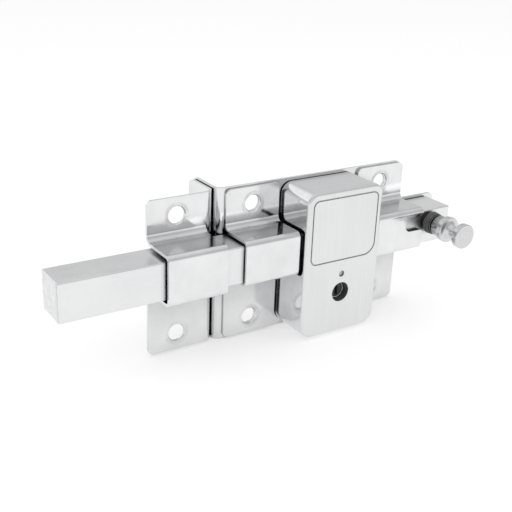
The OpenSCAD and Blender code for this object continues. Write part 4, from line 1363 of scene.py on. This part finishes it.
def one_spring(plan, g):
    """Wire round a helix that is a wire's thickness shorter than the spring."""
    radius = plan.minus(g["outer radius"], g["wire radius"])
    rise = plan.minus(g["length"], plan.times(g["wire radius"], 2.0))
    path = plan.add("GeometryNodeCurveSpiral",
                    {"Resolution": 20, "Rotations": g["coils"], "Start Radius": radius,
                     "End Radius": radius, "Height": rise}).outputs[0]
    wire = plan.add("GeometryNodeCurvePrimitiveCircle",
                    {"Resolution": 8, "Radius": g["wire radius"]}).outputs[0]
    coil = plan.add("GeometryNodeCurveToMesh",
                    {"Curve": path, "Profile Curve": wire, "Fill Caps": True}).outputs[0]
    return plan.place(coil, lambda x, y, z: plan.point(x, y, plan.plus(z, g["wire radius"])))


low, high, middle = span("pin_springs")
pin_count, pin_radius, wire_radius = 4, (high.x - low.x) / 2, 0.2 * mm
pitch = (high.y - low.y - 2 * pin_radius) / (pin_count - 1)
spring_plan = row_plan("coil springs", ["outer radius", "wire radius", "length", "coils"],
                       one_spring)
springs = build(spring_plan, "tumbler_springs", plain_steel, outer_radius=pin_radius,
                wire_radius=wire_radius, length=high.z - low.z, coils=5.0,
                first_y=low.y + pin_radius, pitch=pitch, axis_x=middle.x, low_z=low.z,
                count=pin_count)
smooth_by_angle(springs, 60)
hand_over(springs, "pin_springs", "lock_frame", plain_steel)

# %% Tumblers
def one_pin(plan, g):
    """A short upright pin with both ends rounded."""
    shape = plan.outline([(0.0, 0.0, 0.0), (g["radius"], 0.0, 0.35 * mm),
                          (g["radius"], g["length"], 0.35 * mm), (0.0, g["length"], 0.0)],
                         g["arc steps"])
    return plan.place(plan.spin(shape, g["turns"]), lambda x, y, z: plan.point(
        x, z, plan.times(y, -1.0)))


def shorter_every_second(plan, g):
    """A scale of 1 for even points, and one less high by the step for odd ones."""
    index = plan.add("GeometryNodeInputIndex").outputs[0]
    odd = plan.calc("MODULO", index, 2.0)
    return plan.point(1.0, 1.0, plan.minus(1.0, plan.times(odd, g["step"])))


key_pin_step = 0.3 / 3.6  # 0.3 mm less on a pin of 3.6 mm
pin_plan = row_plan("tumbler pins", ["radius", "length", "step"], one_pin, shorter_every_second)
for node, name, body, step in (("driver_pins", "driver_pin_row", "lock_frame", 0.0),
                               ("key_pins", "key_pin_row", "plug", key_pin_step)):
    low, high, middle = span(node)
    pins = build(pin_plan, name, brass_finish, radius=pin_radius, length=high.z - low.z,
                 step=step, first_y=low.y + pin_radius, pitch=pitch, axis_x=middle.x,
                 low_z=low.z, arc_steps=3, turns=24, count=pin_count)
    smooth_by_angle(pins)
    hand_over(pins, node, body, brass_finish)

# %% [markdown]
# ## What is left
# The posts, the stop stud, the dog and its rails, the cam and the cylinder's
# plate sit inside the lock, and the CAD already has their exact shape. A second
# model of them would show nothing new. So they keep their CAD mesh and get the
# finish that their material slot in the record names.

# %% What is left keeps its CAD mesh
finishes = {"chromed_sheet": lock_chrome, "brushed_case": case_front, "satin_bar": bar_finish,
            "turned_chrome": knob_finish, "plain_steel": plain_steel, "turned_brass": brass_finish,
            "black_rubber": rubber}
slots = {row["node"]: row["material_slot"] for row in frame["record"]["subparts"]}
for node, piece in frame["nodes"].items():
    if piece.hide_render:
        continue
    finish = finishes[slots[node]]
    if not piece.material_slots:
        piece.data.materials.append(finish)
    for place in piece.material_slots:
        place.material = finish
print("dressed:", sum(not p.hide_render for p in frame["nodes"].values()), "CAD nodes")

# %% [markdown]
# ## The view transform
# The Standard view transform keeps the greys of the metal as the lamps make them.

# %% Set the view transform
scene.view_settings.view_transform = "Standard"
